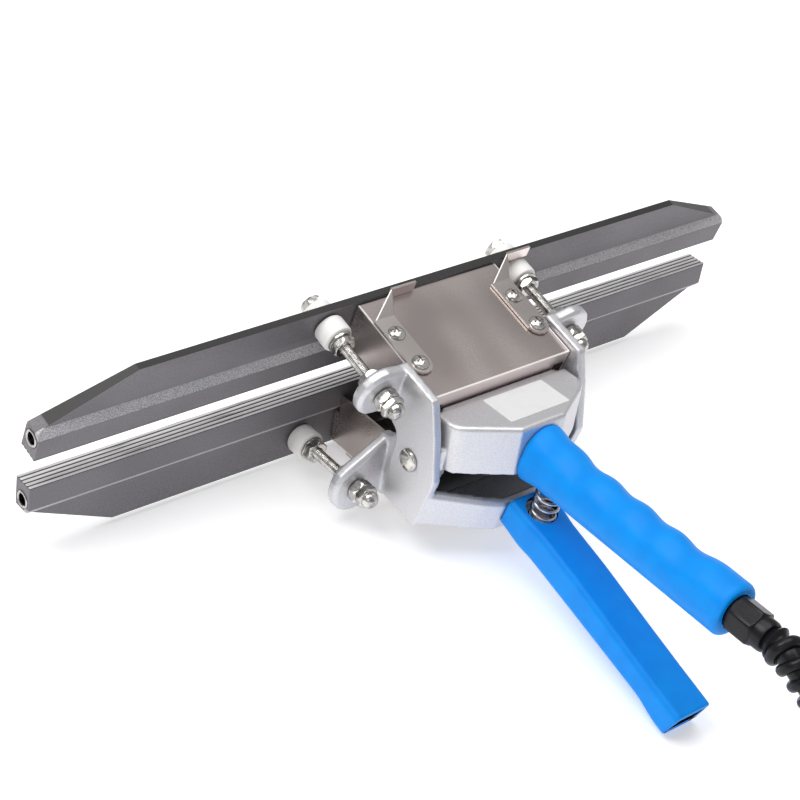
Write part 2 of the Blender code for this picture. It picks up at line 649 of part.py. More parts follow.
def add_upper_lever(lever):
    """Casting of the lever with the upper grip: hollow body, inner plates, lower lugs and a tubular tang."""
    front_end = (UPPER_BODY_HALF_WIDTH, -UPPER_BODY_FRONT)
    side_end = (UPPER_BODY_HALF_WIDTH, -UPPER_BODY_SHOULDER)
    rear_end = (UPPER_BODY_REAR_HALF_WIDTH, -UPPER_BODY_REAR)
    shoulder = turned_corner(front_end, side_end, rear_end, UPPER_BODY_CORNER)
    plan = symmetric((front_end, *shoulder, rear_end))
    body = prism("upper_body", plan, "Z", UPPER_BODY_FOOT, UPPER_BODY_HEIGHT, UPPER_BODY_ROUNDING, 2, True)
    lowered(body, UPPER_BODY_HEIGHT / 2, -UPPER_BODY_REAR, -UPPER_BODY_FRONT, UPPER_BODY_FRONT_FALL)
    lip_half = UPPER_COVER_HALF_WIDTH - UPPER_COVER_NOTCH_WIDTH
    lip_foot = UPPER_BODY_HEIGHT - UPPER_BODY_ROOF + BODY_WALL_STEP
    lip_top = UPPER_BODY_HEIGHT - UPPER_BODY_FRONT_FALL - BODY_WALL_STEP
    lip = box("roof_lip", (-lip_half, -UPPER_BODY_LIP_LENGTH, lip_foot),
              (lip_half, -UPPER_BODY_LIP_FRONT, lip_top))
    hollow_plan = opened_front(inset(plan, INNER_PLATE_THICKNESS + BODY_WALL_STEP))
    hollow = prism("hollow", hollow_plan, "Z", -CUT_OVERRUN, UPPER_BODY_HEIGHT - UPPER_BODY_ROOF)
    plate_outline = shares_outline(INNER_PLATE_SHARES, (-INNER_PLATE_REAR, -INNER_PLATE_BOTTOM),
                                   (LUG_FRONT, INNER_PLATE_TOP))
    plate = prism("inner_plate", plate_outline, "X", INNER_PLATE_INSIDE, INNER_PLATE_HALF_WIDTH)
    lug = lug_mesh(INNER_PLATE_HALF_WIDTH, LOWER_LUG_ROOT_TOP, LOWER_LUG_ROOT_BOTTOM, -1)
    axis = UPPER_TANG_AXIS_HEIGHT
    tang_start = UPPER_BODY_REAR - INNER_PLATE_THICKNESS / 2
    tang = rod("tang", UPPER_TANG_RADIUS, (0.0, -tang_start, axis), (0.0, -UPPER_TANG_END, axis),
               UPPER_TANG_SIDES)
    bore = rod("tang_bore", UPPER_TANG_BORE, (0.0, -UPPER_BODY_SHOULDER, axis),
               (0.0, -UPPER_TANG_END - CUT_OVERRUN, axis), 16)
    cuts = [hollow, bore, pivot_bore(), spring_pocket(-UPPER_GRIP_RADIUS, UPPER_SPRING_SEAT)] + bolt_bores(-1)
    mesh = combined("upper_handle_frame", body, both_sides(plate) + both_sides(lug) + [lip, tang], cuts)
    add_piece("upper_handle_frame", mesh, "cast_aluminium", lever)


def rounded_rectangle(half_width, bottom, top, corners, y):
    """Section of the lower grip or its tang; corners hold the lower and the upper rounding."""
    points = []
    turns = ((1, top, 0.0), (-1, top, math.pi / 2), (-1, bottom, math.pi), (1, bottom, -math.pi / 2))
    for side, height, start in turns:
        corner = corners[1] if height == top else corners[0]
        inwards = -1 if height == top else 1
        middle = (side * (half_width - corner), height + inwards * corner)
        for step in range(LOWER_GRIP_CORNER_STEPS + 1):
            angle = start + math.pi / 2 * step / LOWER_GRIP_CORNER_STEPS
            across, raised = corner * math.cos(angle), corner * math.sin(angle)
            points.append(Vector((middle[0] + across, y, middle[1] + raised)))
    return points


def lower_grip_section(station, wall=0.0):
    """Section of the lower grip at one of its stations, drawn in by a wall."""
    share, collar, drop, heel = station
    y = -LOWER_GRIP_FRONT - share * (LOWER_GRIP_END - LOWER_GRIP_FRONT)
    half_width = LOWER_GRIP_HALF_WIDTH + collar * LOWER_GRIP_COLLAR - wall
    top = -LOWER_GRIP_TOP - drop * LOWER_GRIP_TOP_DROP - wall
    bottom = -LOWER_GRIP_BOTTOM - heel * LOWER_GRIP_HEEL + wall
    corners = [max(corner - wall, corner / 4) for corner in (LOWER_GRIP_BOTTOM_CORNER, LOWER_GRIP_TOP_CORNER)]
    return rounded_rectangle(half_width, bottom, top, corners, y)


def lower_grip_rings(wall=0.0):
    """Sections of the lower grip along its length, the last one leaning under."""
    rings = [lower_grip_section(station, wall) for station in LOWER_GRIP_STATION_SHARES]
    heights = [point.z for point in rings[-1]]
    for point in rings[-1]:
        point.y += LOWER_GRIP_END_LEAN * (max(heights) - point.z) / (max(heights) - min(heights))
    return rings


def lower_tang_mesh():
    """Solid tang inside the lower grip, a touch gap smaller than the sleeve."""
    rings = lower_grip_rings(LOWER_GRIP_WALL + TOUCH_GAP)
    kept = [points for points in rings if points[0].y > -LOWER_TANG_END]
    first = [Vector((point.x, -LOWER_BODY_REAR + LOWER_BODY_FLOOR / 2, point.z)) for point in rings[0]]
    following = rings[len(kept)]
    before = kept[-1]
    share = (-LOWER_TANG_END - before[0].y) / (following[0].y - before[0].y)
    last = [near.lerp(far, share) for near, far in zip(before, following)]
    return lofted("lower_tang", [first] + kept + [last])


def add_lower_lever(lever):
    """Casting of the lever with the lower grip: outer plates, upper lugs, open body and a solid tang."""
    plan = symmetric((
        (OUTER_PLATE_HALF_WIDTH, -LOWER_BODY_FRONT), (OUTER_PLATE_HALF_WIDTH, -LOWER_BODY_SHOULDER),
        (LOWER_BODY_WAIST_HALF_WIDTH, -LOWER_BODY_WAIST), (LOWER_BODY_REAR_HALF_WIDTH, -LOWER_BODY_REAR),
    ))
    body = prism("lower_body", plan, "Z", -LOWER_BODY_BOTTOM, -LOWER_BODY_TOP, CAST_ROUNDING)
    lowered(body, -LOWER_BODY_BOTTOM / 2, -LOWER_BODY_FRONT, -LOWER_BODY_REAR, LOWER_BODY_REAR_FALL)
    hollow_plan = opened_front(inset(plan, OUTER_PLATE_THICKNESS + BODY_WALL_STEP))
    hollow = prism("hollow", hollow_plan, "Z", LOWER_BODY_FLOOR - LOWER_BODY_BOTTOM, CUT_OVERRUN)
    plate_outline = shares_outline(OUTER_PLATE_SHARES, (-OUTER_PLATE_REAR, -OUTER_PLATE_BOTTOM),
                                   (LUG_FRONT, OUTER_PLATE_TOP))
    plate = prism("outer_plate", plate_outline, "X", OUTER_PLATE_INSIDE, OUTER_PLATE_HALF_WIDTH)
    lug = lug_mesh(OUTER_PLATE_HALF_WIDTH, LUG_ROOT_TOP, LUG_ROOT_BOTTOM, 1)
    cuts = [hollow, pivot_bore(), spring_pocket(-LOWER_SPRING_SEAT, CUT_OVERRUN)] + bolt_bores(1)
    joined = both_sides(plate) + both_sides(lug) + [lower_tang_mesh()]
    mesh = combined("lower_handle_frame", body, joined, cuts)
    add_piece("lower_handle_frame", mesh, "cast_aluminium", lever)


def eased(share):
    """A share held between 0 and 1, with a smooth start and end."""
    held = min(1.0, max(0.0, share))
    return held * held * (3 - 2 * held)


def grip_radius(y):
    """Radius of the upper grip at a place along it, as a function of the angle round it."""
    swell = 1 - eased((-y - FRONT_SWELL_END) / SWELL_RUN)
    swell += eased((-y - REAR_SWELL_START + SWELL_RUN) / SWELL_RUN)
    wave = (1 - math.cos(2 * math.pi * (-y - FINGER_FIRST_CREST) / FINGER_PITCH)) / 2
    rise = FINGER_RISE + swell * UPPER_GRIP_SWELL - (1 - swell) * wave * FINGER_DEPTH
    front_rise = UPPER_GRIP_FRONT_RISE * (1 - eased((-y - UPPER_GRIP_FRONT) / SWELL_RUN))

    def radius(angle):
        facing = max(0.0, math.cos(angle - FINGER_CENTRE))
        return UPPER_GRIP_RADIUS + rise * facing ** FINGER_SPREAD_SHARE + front_rise * facing * facing
    return radius


def add_upper_grip(lever):
    """Round sleeve with finger waves, a rounded rear end and a hole for the return spring."""
    axis = (0.0, UPPER_GRIP_AXIS_HEIGHT)
    straight_end = UPPER_GRIP_END - UPPER_GRIP_END_ROUNDING
    steps = round((straight_end - UPPER_GRIP_FRONT) / FINGER_PITCH * FINGER_STEPS)
    bore = UPPER_TANG_RADIUS + TOUCH_GAP
    lip = (bore + UPPER_GRIP_RADIUS) / 2
    start = UPPER_GRIP_FRONT
    sides = UPPER_GRIP_SIDES
    rings = []
    for step in range(steps + 1):
        y = -start - (straight_end - start) * step / steps
        rings.append(ring(grip_radius(y), y, sides, axis))
    tang_axis = (0.0, UPPER_TANG_AXIS_HEIGHT)
    rings.append(ring(lip, -UPPER_GRIP_END, sides, tang_axis))
    rings.append(ring(bore, -UPPER_GRIP_END, sides, tang_axis))
    rings.append(ring(bore, -UPPER_GRIP_FRONT, sides, tang_axis))
    sleeve = lofted("upper_grip", rings, looped=True)
    mesh = combined("upper_grip", sleeve, cut=[spring_pocket(-UPPER_GRIP_RADIUS, UPPER_GRIP_AXIS_HEIGHT)])
    add_piece("upper_grip", mesh, "blue_grip", lever)


def add_lower_grip(lever):
    """Flat-sided sleeve, open at the rear, with a hole in its top for the return spring."""
    rings = lower_grip_rings() + list(reversed(lower_grip_rings(LOWER_GRIP_WALL)))
    sleeve = lofted("lower_grip", rings, looped=True)
    middle = -(LOWER_GRIP_TOP + LOWER_GRIP_BOTTOM) / 2
    mesh = combined("lower_grip", sleeve, cut=[spring_pocket(middle, CUT_OVERRUN)])
    add_piece("lower_grip", mesh, "blue_grip", lever)


def add_upper_cover(lever):
    """Sheet cover behind the upper jaw: a roof, two stepped sides and a notched rear flange."""
    half, top, rear, front = UPPER_COVER_HALF_WIDTH, UPPER_COVER_TOP, UPPER_COVER_REAR, COVER_FRONT
    wall, past = COVER_THICKNESS, CUT_OVERRUN
    shell = box("upper_cover", (-half, rear, UPPER_COVER_SKIRT), (half, front, top))
    inside = box("inside", (wall - half, rear + wall, UPPER_COVER_SKIRT - past),
                 (half - wall, front + past, top - wall))
    step = box("step", (-half - past, rear - past, UPPER_COVER_SKIRT - past),
               (half + past, UPPER_COVER_SKIRT_STEP, UPPER_COVER_REAR_SKIRT))
    flange_foot = top - UPPER_COVER_FLANGE
    below_flange = box("below_flange", (wall - half, rear - past, UPPER_COVER_SKIRT - past),
                       (half - wall, rear + wall + past, flange_foot))
    notch = box("notch", (half - UPPER_COVER_NOTCH_WIDTH, rear - past, UPPER_COVER_REAR_SKIRT - past),
                (half - wall, rear + wall + past, flange_foot + UPPER_COVER_NOTCH_HEIGHT))
    jaw_room = box("jaw_room", (-half - past, SEAL_REAR - COVER_JAW_GAP, UPPER_COVER_SKIRT - past),
                   (half + past, front + past, NOSE_CREST + COVER_JAW_GAP))
    cuts = [inside, step, below_flange, jaw_room] + both_sides(notch)
    cuts += bracket_screw_bores(UPPER_BRACKET_OFFSET, top - wall - past, top + past)
    add_piece("upper_cover", combined("upper_cover", shell, cut=cuts), "stainless_sheet", lever)


def add_lower_cover(lever):
    """Sheet cover behind the lower jaw: an open tray between the inner plates."""
    half, rear, front = LOWER_COVER_HALF_WIDTH, LOWER_COVER_REAR, COVER_FRONT
    wall, past = COVER_THICKNESS, CUT_OVERRUN
    shell = box("lower_cover", (-half, rear, -LOWER_COVER_DEPTH), (half, front, -LOWER_COVER_RIM))
    inside = box("inside", (wall - half, rear + wall, wall - LOWER_COVER_DEPTH),
                 (half - wall, front + past, past - LOWER_COVER_RIM))
    jaw_room = box("jaw_room", (-half - past, SEAL_REAR - COVER_JAW_GAP, -NOSE_CREST - COVER_JAW_GAP),
                   (half + past, front + past, past - LOWER_COVER_RIM))
    cuts = [inside, jaw_room]
    cuts += bracket_screw_bores(LOWER_BRACKET_OFFSET, -LOWER_COVER_DEPTH - past,
                                wall + past - LOWER_COVER_DEPTH)
    add_piece("lower_cover", combined("lower_cover", shell, cut=cuts), "stainless_sheet", lever)


def bracket_screw_bores(offset, low, high):
    """Cutters for the four bracket screws of one cover."""
    radius = SMALL_SCREW_SHANK_RADIUS + TOUCH_GAP
    return [
        rod("screw_bore", radius, (side * offset, y, low), (side * offset, y, high), SCREW_SIDES)
        for side in (-1, 1) for y in (BRACKET_SCREW_REAR, BRACKET_SCREW_FRONT)
    ]


def bracket_mesh():
    """Bracket about its strip's middle line: a strip on Z = 0, a leaning web and a flange by the fin."""
    half = BRACKET_WIDTH / 2
    strip_outline = [(half, BRACKET_FRONT), (-half, BRACKET_FRONT)]
    for step in range(BRACKET_END_STEPS + 1):
        angle = math.pi + math.pi * step / BRACKET_END_STEPS
        strip_outline.append((half * math.cos(angle), BRACKET_REAR + half + half * math.sin(angle)))
    strip = prism("bracket", strip_outline, "Z", 0.0, BRACKET_THICKNESS)
    thick = BRACKET_THICKNESS
    lean_top = COVER_FRONT - thick
    start, end = BRACKET_FLANGE_START, BRACKET_FLANGE_START + BRACKET_FLANGE_LENGTH
    rise, drop = BRACKET_FLANGE_RISE, BRACKET_FLANGE_RISE - BRACKET_FLANGE_HEIGHT
    sunk = thick / 4
    web = []
    faces = ((BRACKET_FRONT - thick + sunk, lean_top + sunk), (BRACKET_FRONT - sunk, COVER_FRONT - sunk))
    for root_y, top_y in faces:
        web.append([
            Vector((sunk - half, root_y, sunk)), Vector((half - sunk, root_y, sunk)),
            Vector((start + thick, top_y, rise - thick)), Vector((start + sunk, top_y, rise - sunk)),
        ])
    web_mesh = lofted("web", web, triangulated=True)
    flange = box("flange", (start, lean_top, drop), (end, lean_top + thick, rise))
    cuts = [
        rod("screw_bore", SMALL_SCREW_SHANK_RADIUS + TOUCH_GAP, (0.0, y, -CUT_OVERRUN),
            (0.0, y, thick + CUT_OVERRUN), SCREW_SIDES)
        for y in (BRACKET_SCREW_REAR, BRACKET_SCREW_FRONT)
    ]
    return combined("bracket", strip, [web_mesh, flange], cuts)


def headed_screw(name, head_radius, head_height, shank_radius, shank):
    """A domed screw pointing along +Y, the underside of its head at the origin."""
    rings = [ring(shank_radius, shank, SCREW_SIDES), ring(shank_radius, 0.0, SCREW_SIDES)]
    rings += [ring(a * head_radius, -b * head_height, SCREW_SIDES) for a, b in HEAD_DOME_SHARES]
    return lofted(name, rings)


def add_brackets(levers):
    """Two brackets on each cover, each held by two screws."""
    bracket = bracket_mesh()
    screw = headed_screw("bracket_screw", SMALL_SCREW_HEAD_RADIUS, SMALL_SCREW_HEAD_HEIGHT,
                         SMALL_SCREW_SHANK_RADIUS, SMALL_SCREW_SHANK)
    covers = (
        ("upper", levers["lower_grip"], 1, UPPER_COVER_TOP, UPPER_BRACKET_OFFSET),
        ("lower", levers["upper_grip"], -1, LOWER_COVER_DEPTH, LOWER_BRACKET_OFFSET),
    )
    for level, lever, up, face, offset in covers:
        turn = 0.0 if up == 1 else math.pi
        handed = bracket if up == 1 else mirrored(bracket, (1.0, 0.0, 0.0))
        seat = up * (face + TOUCH_GAP)
        head_seat = seat + up * (BRACKET_THICKNESS + TOUCH_GAP)
        for side_name, side in (("left", -1), ("right", 1)):
            label = f"{level}_bracket_{side_name}"
            add_piece(label, handed, "stainless_sheet", lever, (side * offset, 0.0, seat), (0.0, turn, 0.0))
            for place_name, y in (("rear", BRACKET_SCREW_REAR), ("front", BRACKET_SCREW_FRONT)):
                add_piece(f"{label}_{place_name}_screw", screw, "nickel_steel", lever,
                          (side * offset, y, head_seat), (-up * math.pi / 2, 0.0, 0.0))


def add_pivot_screws(lever):
    """One headed screw at each end of the pivot axis."""
    head_seat = OUTER_PLATE_HALF_WIDTH + TOUCH_GAP
    screw = headed_screw("pivot_screw", PIVOT_HEAD_RADIUS, PIVOT_HEAD_HEIGHT, PIVOT_SHANK_RADIUS,
                         head_seat - PIVOT_END_HALF_WIDTH)
    for side_name, side in (("left", -1), ("right", 1)):
        add_piece(f"pivot_screw_{side_name}", screw, "nickel_steel", lever,
                  (side * head_seat, 0.0, 0.0), (0.0, 0.0, side * math.pi / 2))


def hex_rings(flats, start, end):
    """Rings of a hexagonal stretch with chamfered corners at both ends."""
    plain, trimmed = hexagon(flats), hexagon(flats, flats / 2)
    inwards = HEX_CHAMFER if end > start else -HEX_CHAMFER
    return [
        ring(trimmed, start, HEX_SIDES), ring(plain, start + inwards, HEX_SIDES),
        ring(plain, end - inwards, HEX_SIDES), ring(trimmed, end, HEX_SIDES),
    ]


def nut_mesh():
    """Hexagon nut along +Y from the origin."""
    rings = hex_rings(NUT_FLATS, 0.0, NUT_HEIGHT)
    rings += [ring(BORE_RADIUS, NUT_HEIGHT, HEX_SIDES), ring(BORE_RADIUS, 0.0, HEX_SIDES)]
    return lofted("nut", rings, looped=True)


def acorn_mesh():
    """Domed nut along -Y from the origin, with a blind bore."""
    trimmed, plain = hexagon(NUT_FLATS, NUT_FLATS / 2), hexagon(NUT_FLATS)
    rings = [ring(trimmed, 0.0, HEX_SIDES), ring(plain, -HEX_CHAMFER, HEX_SIDES)]
    rings.append(ring(plain, -ACORN_HEX_HEIGHT, HEX_SIDES))
    dome = ACORN_HEIGHT - ACORN_HEX_HEIGHT
    for a, b in ACORN_DOME_SHARES:
        rings.append(ring(a * ACORN_DOME_RADIUS, -ACORN_HEX_HEIGHT - b * dome, HEX_SIDES))
    body = lofted("acorn_nut", rings)
    bore = rod("acorn_bore", BORE_RADIUS, (0.0, CUT_OVERRUN, 0.0),
               (0.0, -ACORN_HEX_HEIGHT - TOUCH_GAP, 0.0), HEX_SIDES)
    return combined("acorn_nut", body, cut=[bore])


def insulator_mesh(name, length):
    """White bush along +Y from the origin."""
    edge = INSULATOR_RADIUS - INSULATOR_ROUNDING
    rings = [
        ring(edge, 0.0, INSULATOR_SIDES), ring(INSULATOR_RADIUS, INSULATOR_ROUNDING, INSULATOR_SIDES),
        ring(INSULATOR_RADIUS, length, INSULATOR_SIDES), ring(BORE_RADIUS, length, INSULATOR_SIDES),
        ring(BORE_RADIUS, 0.0, INSULATOR_SIDES),
    ]
    return lofted(name, rings, looped=True)


def bolt_mesh(head_seat, tail):
    """Jaw bolt in its place along Y, head forward."""
    rings = hex_rings(BOLT_HEAD_FLATS, head_seat + BOLT_HEAD_HEIGHT, head_seat)
    rings += [ring(BOLT_RADIUS, head_seat, HEX_SIDES), ring(BOLT_RADIUS, tail, HEX_SIDES)]
    return lofted("jaw_bolt", rings)


def add_bolts(levers):
    """Four bolts, each with a washer before the fin, a bush behind it and four nuts."""
    washer_seat = SPOT_FACE + TOUCH_GAP
    head_seat = washer_seat + FRONT_INSULATOR_LENGTH + TOUCH_GAP
    bush_rear = REAR_INSULATOR_FRONT - REAR_INSULATOR_LENGTH
    jaw_nut = bush_rear - TOUCH_GAP - NUT_HEIGHT
    front_nut = LUG_FRONT + TOUCH_GAP
    rear_nut = LUG_REAR - TOUCH_GAP - NUT_HEIGHT
    acorn_seat = rear_nut - TOUCH_GAP
    pieces = (
        ("bolt", bolt_mesh(head_seat, acorn_seat - ACORN_HEX_HEIGHT), "nickel_steel", 0.0),
        ("front_insulator", insulator_mesh("washer", FRONT_INSULATOR_LENGTH), "white_insulator", washer_seat),
        ("rear_insulator", insulator_mesh("bush", REAR_INSULATOR_LENGTH), "white_insulator", bush_rear),
        ("jaw_nut", nut_mesh(), "nickel_steel", jaw_nut),
        ("lug_front_nut", nut_mesh(), "nickel_steel", front_nut),
        ("lug_rear_nut", nut_mesh(), "nickel_steel", rear_nut),
        ("acorn_nut", acorn_mesh(), "nickel_steel", acorn_seat),
    )
    for level, lever, up in (("upper", levers["lower_grip"], 1), ("lower", levers["upper_grip"], -1)):
        for side_name, side in (("left", -1), ("right", 1)):
            for kind, mesh, finish_name, y in pieces:
                add_piece(f"{level}_{kind}_{side_name}", mesh, finish_name, lever,
                          (side * BOLT_OFFSET, y, up * BOLT_HEIGHT))


def add_gland(lever):
    """Cord gland: a spigot in the tang, a collar in the grip, a hexagon and a round nose."""
    axis = (0.0, UPPER_TANG_AXIS_HEIGHT)
    trimmed, plain = hexagon(GLAND_FLATS, GLAND_FLATS / 2), hexagon(GLAND_FLATS)
    hex_end = GLAND_HEX_FRONT + GLAND_LENGTH
    stretches = (
        (GLAND_SPIGOT_RADIUS, GLAND_FRONT - GLAND_SPIGOT_LENGTH), (GLAND_SPIGOT_RADIUS, GLAND_FRONT),
        (GLAND_COLLAR_RADIUS, GLAND_FRONT), (GLAND_COLLAR_RADIUS, GLAND_HEX_FRONT),
        (trimmed, GLAND_HEX_FRONT), (plain, GLAND_HEX_FRONT + GLAND_CHAMFER),
        (plain, hex_end - GLAND_CHAMFER), (trimmed, hex_end),
        (GLAND_NOSE_RADIUS, hex_end), (GLAND_NOSE_RADIUS, GLAND_REAR),
    )
    sides = HEX_SIDES * 2
    rings = [ring(radius, -place, sides, axis) for radius, place in stretches]
    add_piece("gland", lofted("gland", rings), "black_nylon", lever)


def smooth_route(points, leaving, arriving, steps=12):
    """Read a smooth curve through route points that leaves and arrives along given directions."""
    tangents = [leaving]
    for before, after in zip(points, points[2:]):
        tangents.append((after - before).normalized())
    tangents.append(arriving)
    curve = [points[0]]
    for place in range(len(points) - 1):
        start, end = points[place], points[place + 1]
        reach = (end - start).length / 3
        stretch = interpolate_bezier(start, start + tangents[place] * reach,
                                     end - tangents[place + 1] * reach, end, steps)
        curve += stretch[1:]
    return curve


def free_route(start, leaving, chosen, end, arriving):
    """Points of a free stretch of cord, its first and last diameter straight."""
    run = CORD_RADIUS * 2
    knots = [start + leaving * run] + chosen + [end - arriving * run]
    return [start] + read_evenly(smooth_route(knots, leaving, arriving), CORD_STEP) + [end]


def read_evenly(curve, step):
    """Points on a curve at an even spacing close to the step, first and last kept."""
    lengths = [0.0]
    for before, after in zip(curve, curve[1:]):
        lengths.append(lengths[-1] + (after - before).length)
    count = max(1, round(lengths[-1] / step))
    points, place = [], 0
    for index in range(count + 1):
        target = lengths[-1] * index / count
        while place < len(curve) - 2 and lengths[place + 1] < target:
            place += 1
        span = lengths[place + 1] - lengths[place]
        points.append(curve[place].lerp(curve[place + 1], min(1.0, (target - lengths[place]) / span)))
    return points


def route_length(points):
    """Length of a row of points."""
    return sum((after - before).length for before, after in zip(points, points[1:]))


def tube(name, points, radius, finish_name, resolution, radii=None):
    """A round tube along a row of points, with its ends closed."""
    curve = bpy.data.curves.new(name, "CURVE")
    curve.dimensions = "3D"
    curve.bevel_depth = radius
    curve.bevel_resolution = resolution
    curve.use_fill_caps = True
    spline = curve.splines.new("POLY")
    spline.points.add(len(points) - 1)
    for place, point in enumerate(points):
        spline.points[place].co = (*point, 1.0)
        spline.points[place].radius = radii[place] / radius if radii else 1.0
    curve.materials.append(finish(finish_name))
    piece = bpy.data.objects.new(name, curve)
    bpy.context.collection.objects.link(piece)
    return piece


def least_gap(points, radius, skip):
    """Least gap between parts of a tube that lie further apart along it than the skipped points."""
    least = math.inf
    for place, point in enumerate(points):
        for other in points[place + skip:]:
            least = min(least, (point - other).length)
    return least - radius * 2


def seat_height(tilt, seat, reach):
    """Height over the pivot of a seat plane of a tilted lever, straight above a place on the floor."""
    return seat / math.cos(tilt) + reach * math.tan(tilt)


def add_return_spring(pivot, tilts):
    """Compression spring standing upright between the pockets of the two levers."""
    top = seat_height(tilts["upper_grip"], UPPER_SPRING_SEAT, -SPRING_REACH) - TOUCH_GAP
    bottom = seat_height(tilts["lower_grip"], -LOWER_SPRING_SEAT, -SPRING_REACH) + TOUCH_GAP
    stub = SPRING_WIRE_RADIUS * 2
    centre = pivot + Vector((0.0, -SPRING_REACH, 0.0))
    edge = Vector((SPRING_COIL_RADIUS, 0.0, 0.0))
    points = [centre + edge + Vector((0.0, 0.0, bottom)), centre + edge + Vector((0.0, 0.0, bottom + stub))]
    low, high = bottom + stub * 1.5, top - stub * 1.5
    count = SPRING_CURLS * SPRING_CURL_STEPS
    for step in range(1, count):
        angle = 2 * math.pi * step / SPRING_CURL_STEPS
        height = low + (high - low) * step / count
        across, deep = SPRING_COIL_RADIUS * math.cos(angle), SPRING_COIL_RADIUS * math.sin(angle)
        points.append(centre + Vector((across, deep, height)))
    points += [centre + edge + Vector((0.0, 0.0, top - stub)), centre + edge + Vector((0.0, 0.0, top))]
    gap = least_gap(points, SPRING_WIRE_RADIUS, SPRING_CURL_STEPS // 2)
    print(f"return spring: least gap {gap / MM:.2f} mm, from {bottom / MM:.1f} to {top / MM:.1f} mm")
    return tube("return_spring", points, SPRING_WIRE_RADIUS, "spring_steel", 1)


def coil_points():
    """Loops of the coil: in and out again, a layer higher at each turning point, with straight ends."""
    centre = Vector((*COIL_CENTRE, COIL_FIRST_HEIGHT))
    start_angle = -math.pi / 2
    loops = []
    for step in range(COIL_STEPS + 1):
        layer = min(step // COIL_LAYER_STEPS, COIL_LAYERS - 1)
        within = step - layer * COIL_LAYER_STEPS
        inwards = within if layer % 2 == 0 else COIL_LAYER_STEPS - within
        radius = COIL_RADIUS - COIL_PITCH * inwards / COIL_LOOP_STEPS
        height = 0.0
        for change in range(1, COIL_LAYERS):
            climb = (step - change * COIL_LAYER_STEPS) * 2 / COIL_LOOP_STEPS + 0.5
            height += COIL_PITCH * min(1.0, max(0.0, climb))
        angle = start_angle + 2 * math.pi * step / COIL_LOOP_STEPS
        loops.append(centre + Vector((radius * math.cos(angle), radius * math.sin(angle), height)))
    run = CORD_RADIUS * 2
    first = loops[0] - Vector((run, 0.0, 0.0))
    last = loops[-1] + Vector((-math.sin(angle), math.cos(angle), 0.0)) * run
    return [first] + loops + [last]


def relief_points(route):
    """Spiral round the first stretch of the cord, with a straight foot on the gland; points and radii."""
    count = RELIEF_TURNS * RELIEF_TURN_STEPS
    foot = RELIEF_RIB_RADIUS * 2
    lengths = [0.0]
    for before, after in zip(route, route[1:]):
        lengths.append(lengths[-1] + (after - before).length)

    def on_route(distance):
        place = 0
        while lengths[place + 1] < distance:
            place += 1
        share = (distance - lengths[place]) / (lengths[place + 1] - lengths[place])
        return route[place].lerp(route[place + 1], share), (route[place + 1] - route[place]).normalized()

    points, radii = [], []
    for step in range(-2, count + 2):
        turned = min(max(step, 0), count - 1)
        share = turned / count
        rib = RELIEF_RIB_RADIUS + (RELIEF_TIP_RIB_RADIUS - RELIEF_RIB_RADIUS) * share
        distance = foot + RELIEF_PITCH * turned / RELIEF_TURN_STEPS
        if step < 0:
            distance = foot * (step + 2) / 2
        if step >= count:
            distance += rib * 2 * (step - count + 1) / 2
        middle, along = on_route(distance)
        towards = Vector((1.0, 0.0, 0.0))
        over = towards.cross(along).normalized()
        angle = 2 * math.pi * turned / RELIEF_TURN_STEPS
        reach = CORD_RADIUS + RELIEF_CORD_GAP + rib
        points.append(middle + reach * (over * math.cos(angle) - towards * math.sin(angle)))
        radii.append(rib)
    return points, radii


def add_cord(exit_point, exit_direction):
    """Free cord from the gland to the coil, the coil, its tail to the plug and the strain relief."""
    start = exit_point + exit_direction * TOUCH_GAP
    chosen = [Vector(point) * MM for point in CORD_ROUTE]
    coil = coil_points()
    into_coil = (coil[1] - coil[0]).normalized()
    route = free_route(start, exit_direction, chosen, coil[0] - into_coil * TOUCH_GAP, into_coil)
    tube("cord", route, CORD_RADIUS, "black_cord", 3)
    tube("cord_coil", coil, CORD_RADIUS, "black_cord", 1)
    out_of_coil = (coil[-1] - coil[-2]).normalized()
    leave = coil[-1] + out_of_coil * TOUCH_GAP
    plug_point = Vector((*PLUG_PLACE, PLUG_RADIUS + CORD_FLOOR_GAP))
    forward = Vector((0.0, 1.0, 0.0))
    chosen = [Vector(point) * MM for point in TAIL_ROUTE]
    tail = free_route(leave, out_of_coil, chosen, plug_point - forward * TOUCH_GAP, forward)
    tube("cord_tail", tail, CORD_RADIUS, "black_cord", 3)
    points, radii = relief_points(route)
    tube("strain_relief", points, RELIEF_RIB_RADIUS, "black_nylon", 1, radii)
    coil_gap = least_gap(coil, CORD_RADIUS, COIL_LOOP_STEPS // 2)
    relief_gap = least_gap(points, RELIEF_RIB_RADIUS, RELIEF_TURN_STEPS // 2)
    print(f"coil: least gap to itself {coil_gap / MM:.2f} mm; strain relief: {relief_gap / MM:.2f} mm")
    total = route_length(route) + route_length(coil) + route_length(tail)
    print(f"cord: {total / MM:.0f} mm long")
    add_plug(plug_point)


def add_plug(place):
    """Moulded plug on the floor, its two pins forward."""
    rings = []
    for radius_share, length_share in PLUG_PROFILE_SHARES:
        radius = PLUG_NECK_RADIUS + radius_share * (PLUG_RADIUS - PLUG_NECK_RADIUS)
        rings.append(ring(radius, length_share * PLUG_LENGTH, PLUG_SIDES, turn=math.pi / PLUG_SIDES))
    body = lofted("plug", rings)
    pins = [
        rod("pin", PIN_RADIUS, (side * PIN_SPACING / 2, PLUG_LENGTH - CUT_OVERRUN, 0.0),
            (side * PIN_SPACING / 2, PLUG_LENGTH + PIN_LENGTH, 0.0), PIN_SIDES)
        for side in (-1, 1)
    ]
    add_piece("plug", combined("plug", body, joined=pins), "black_nylon", location=place)


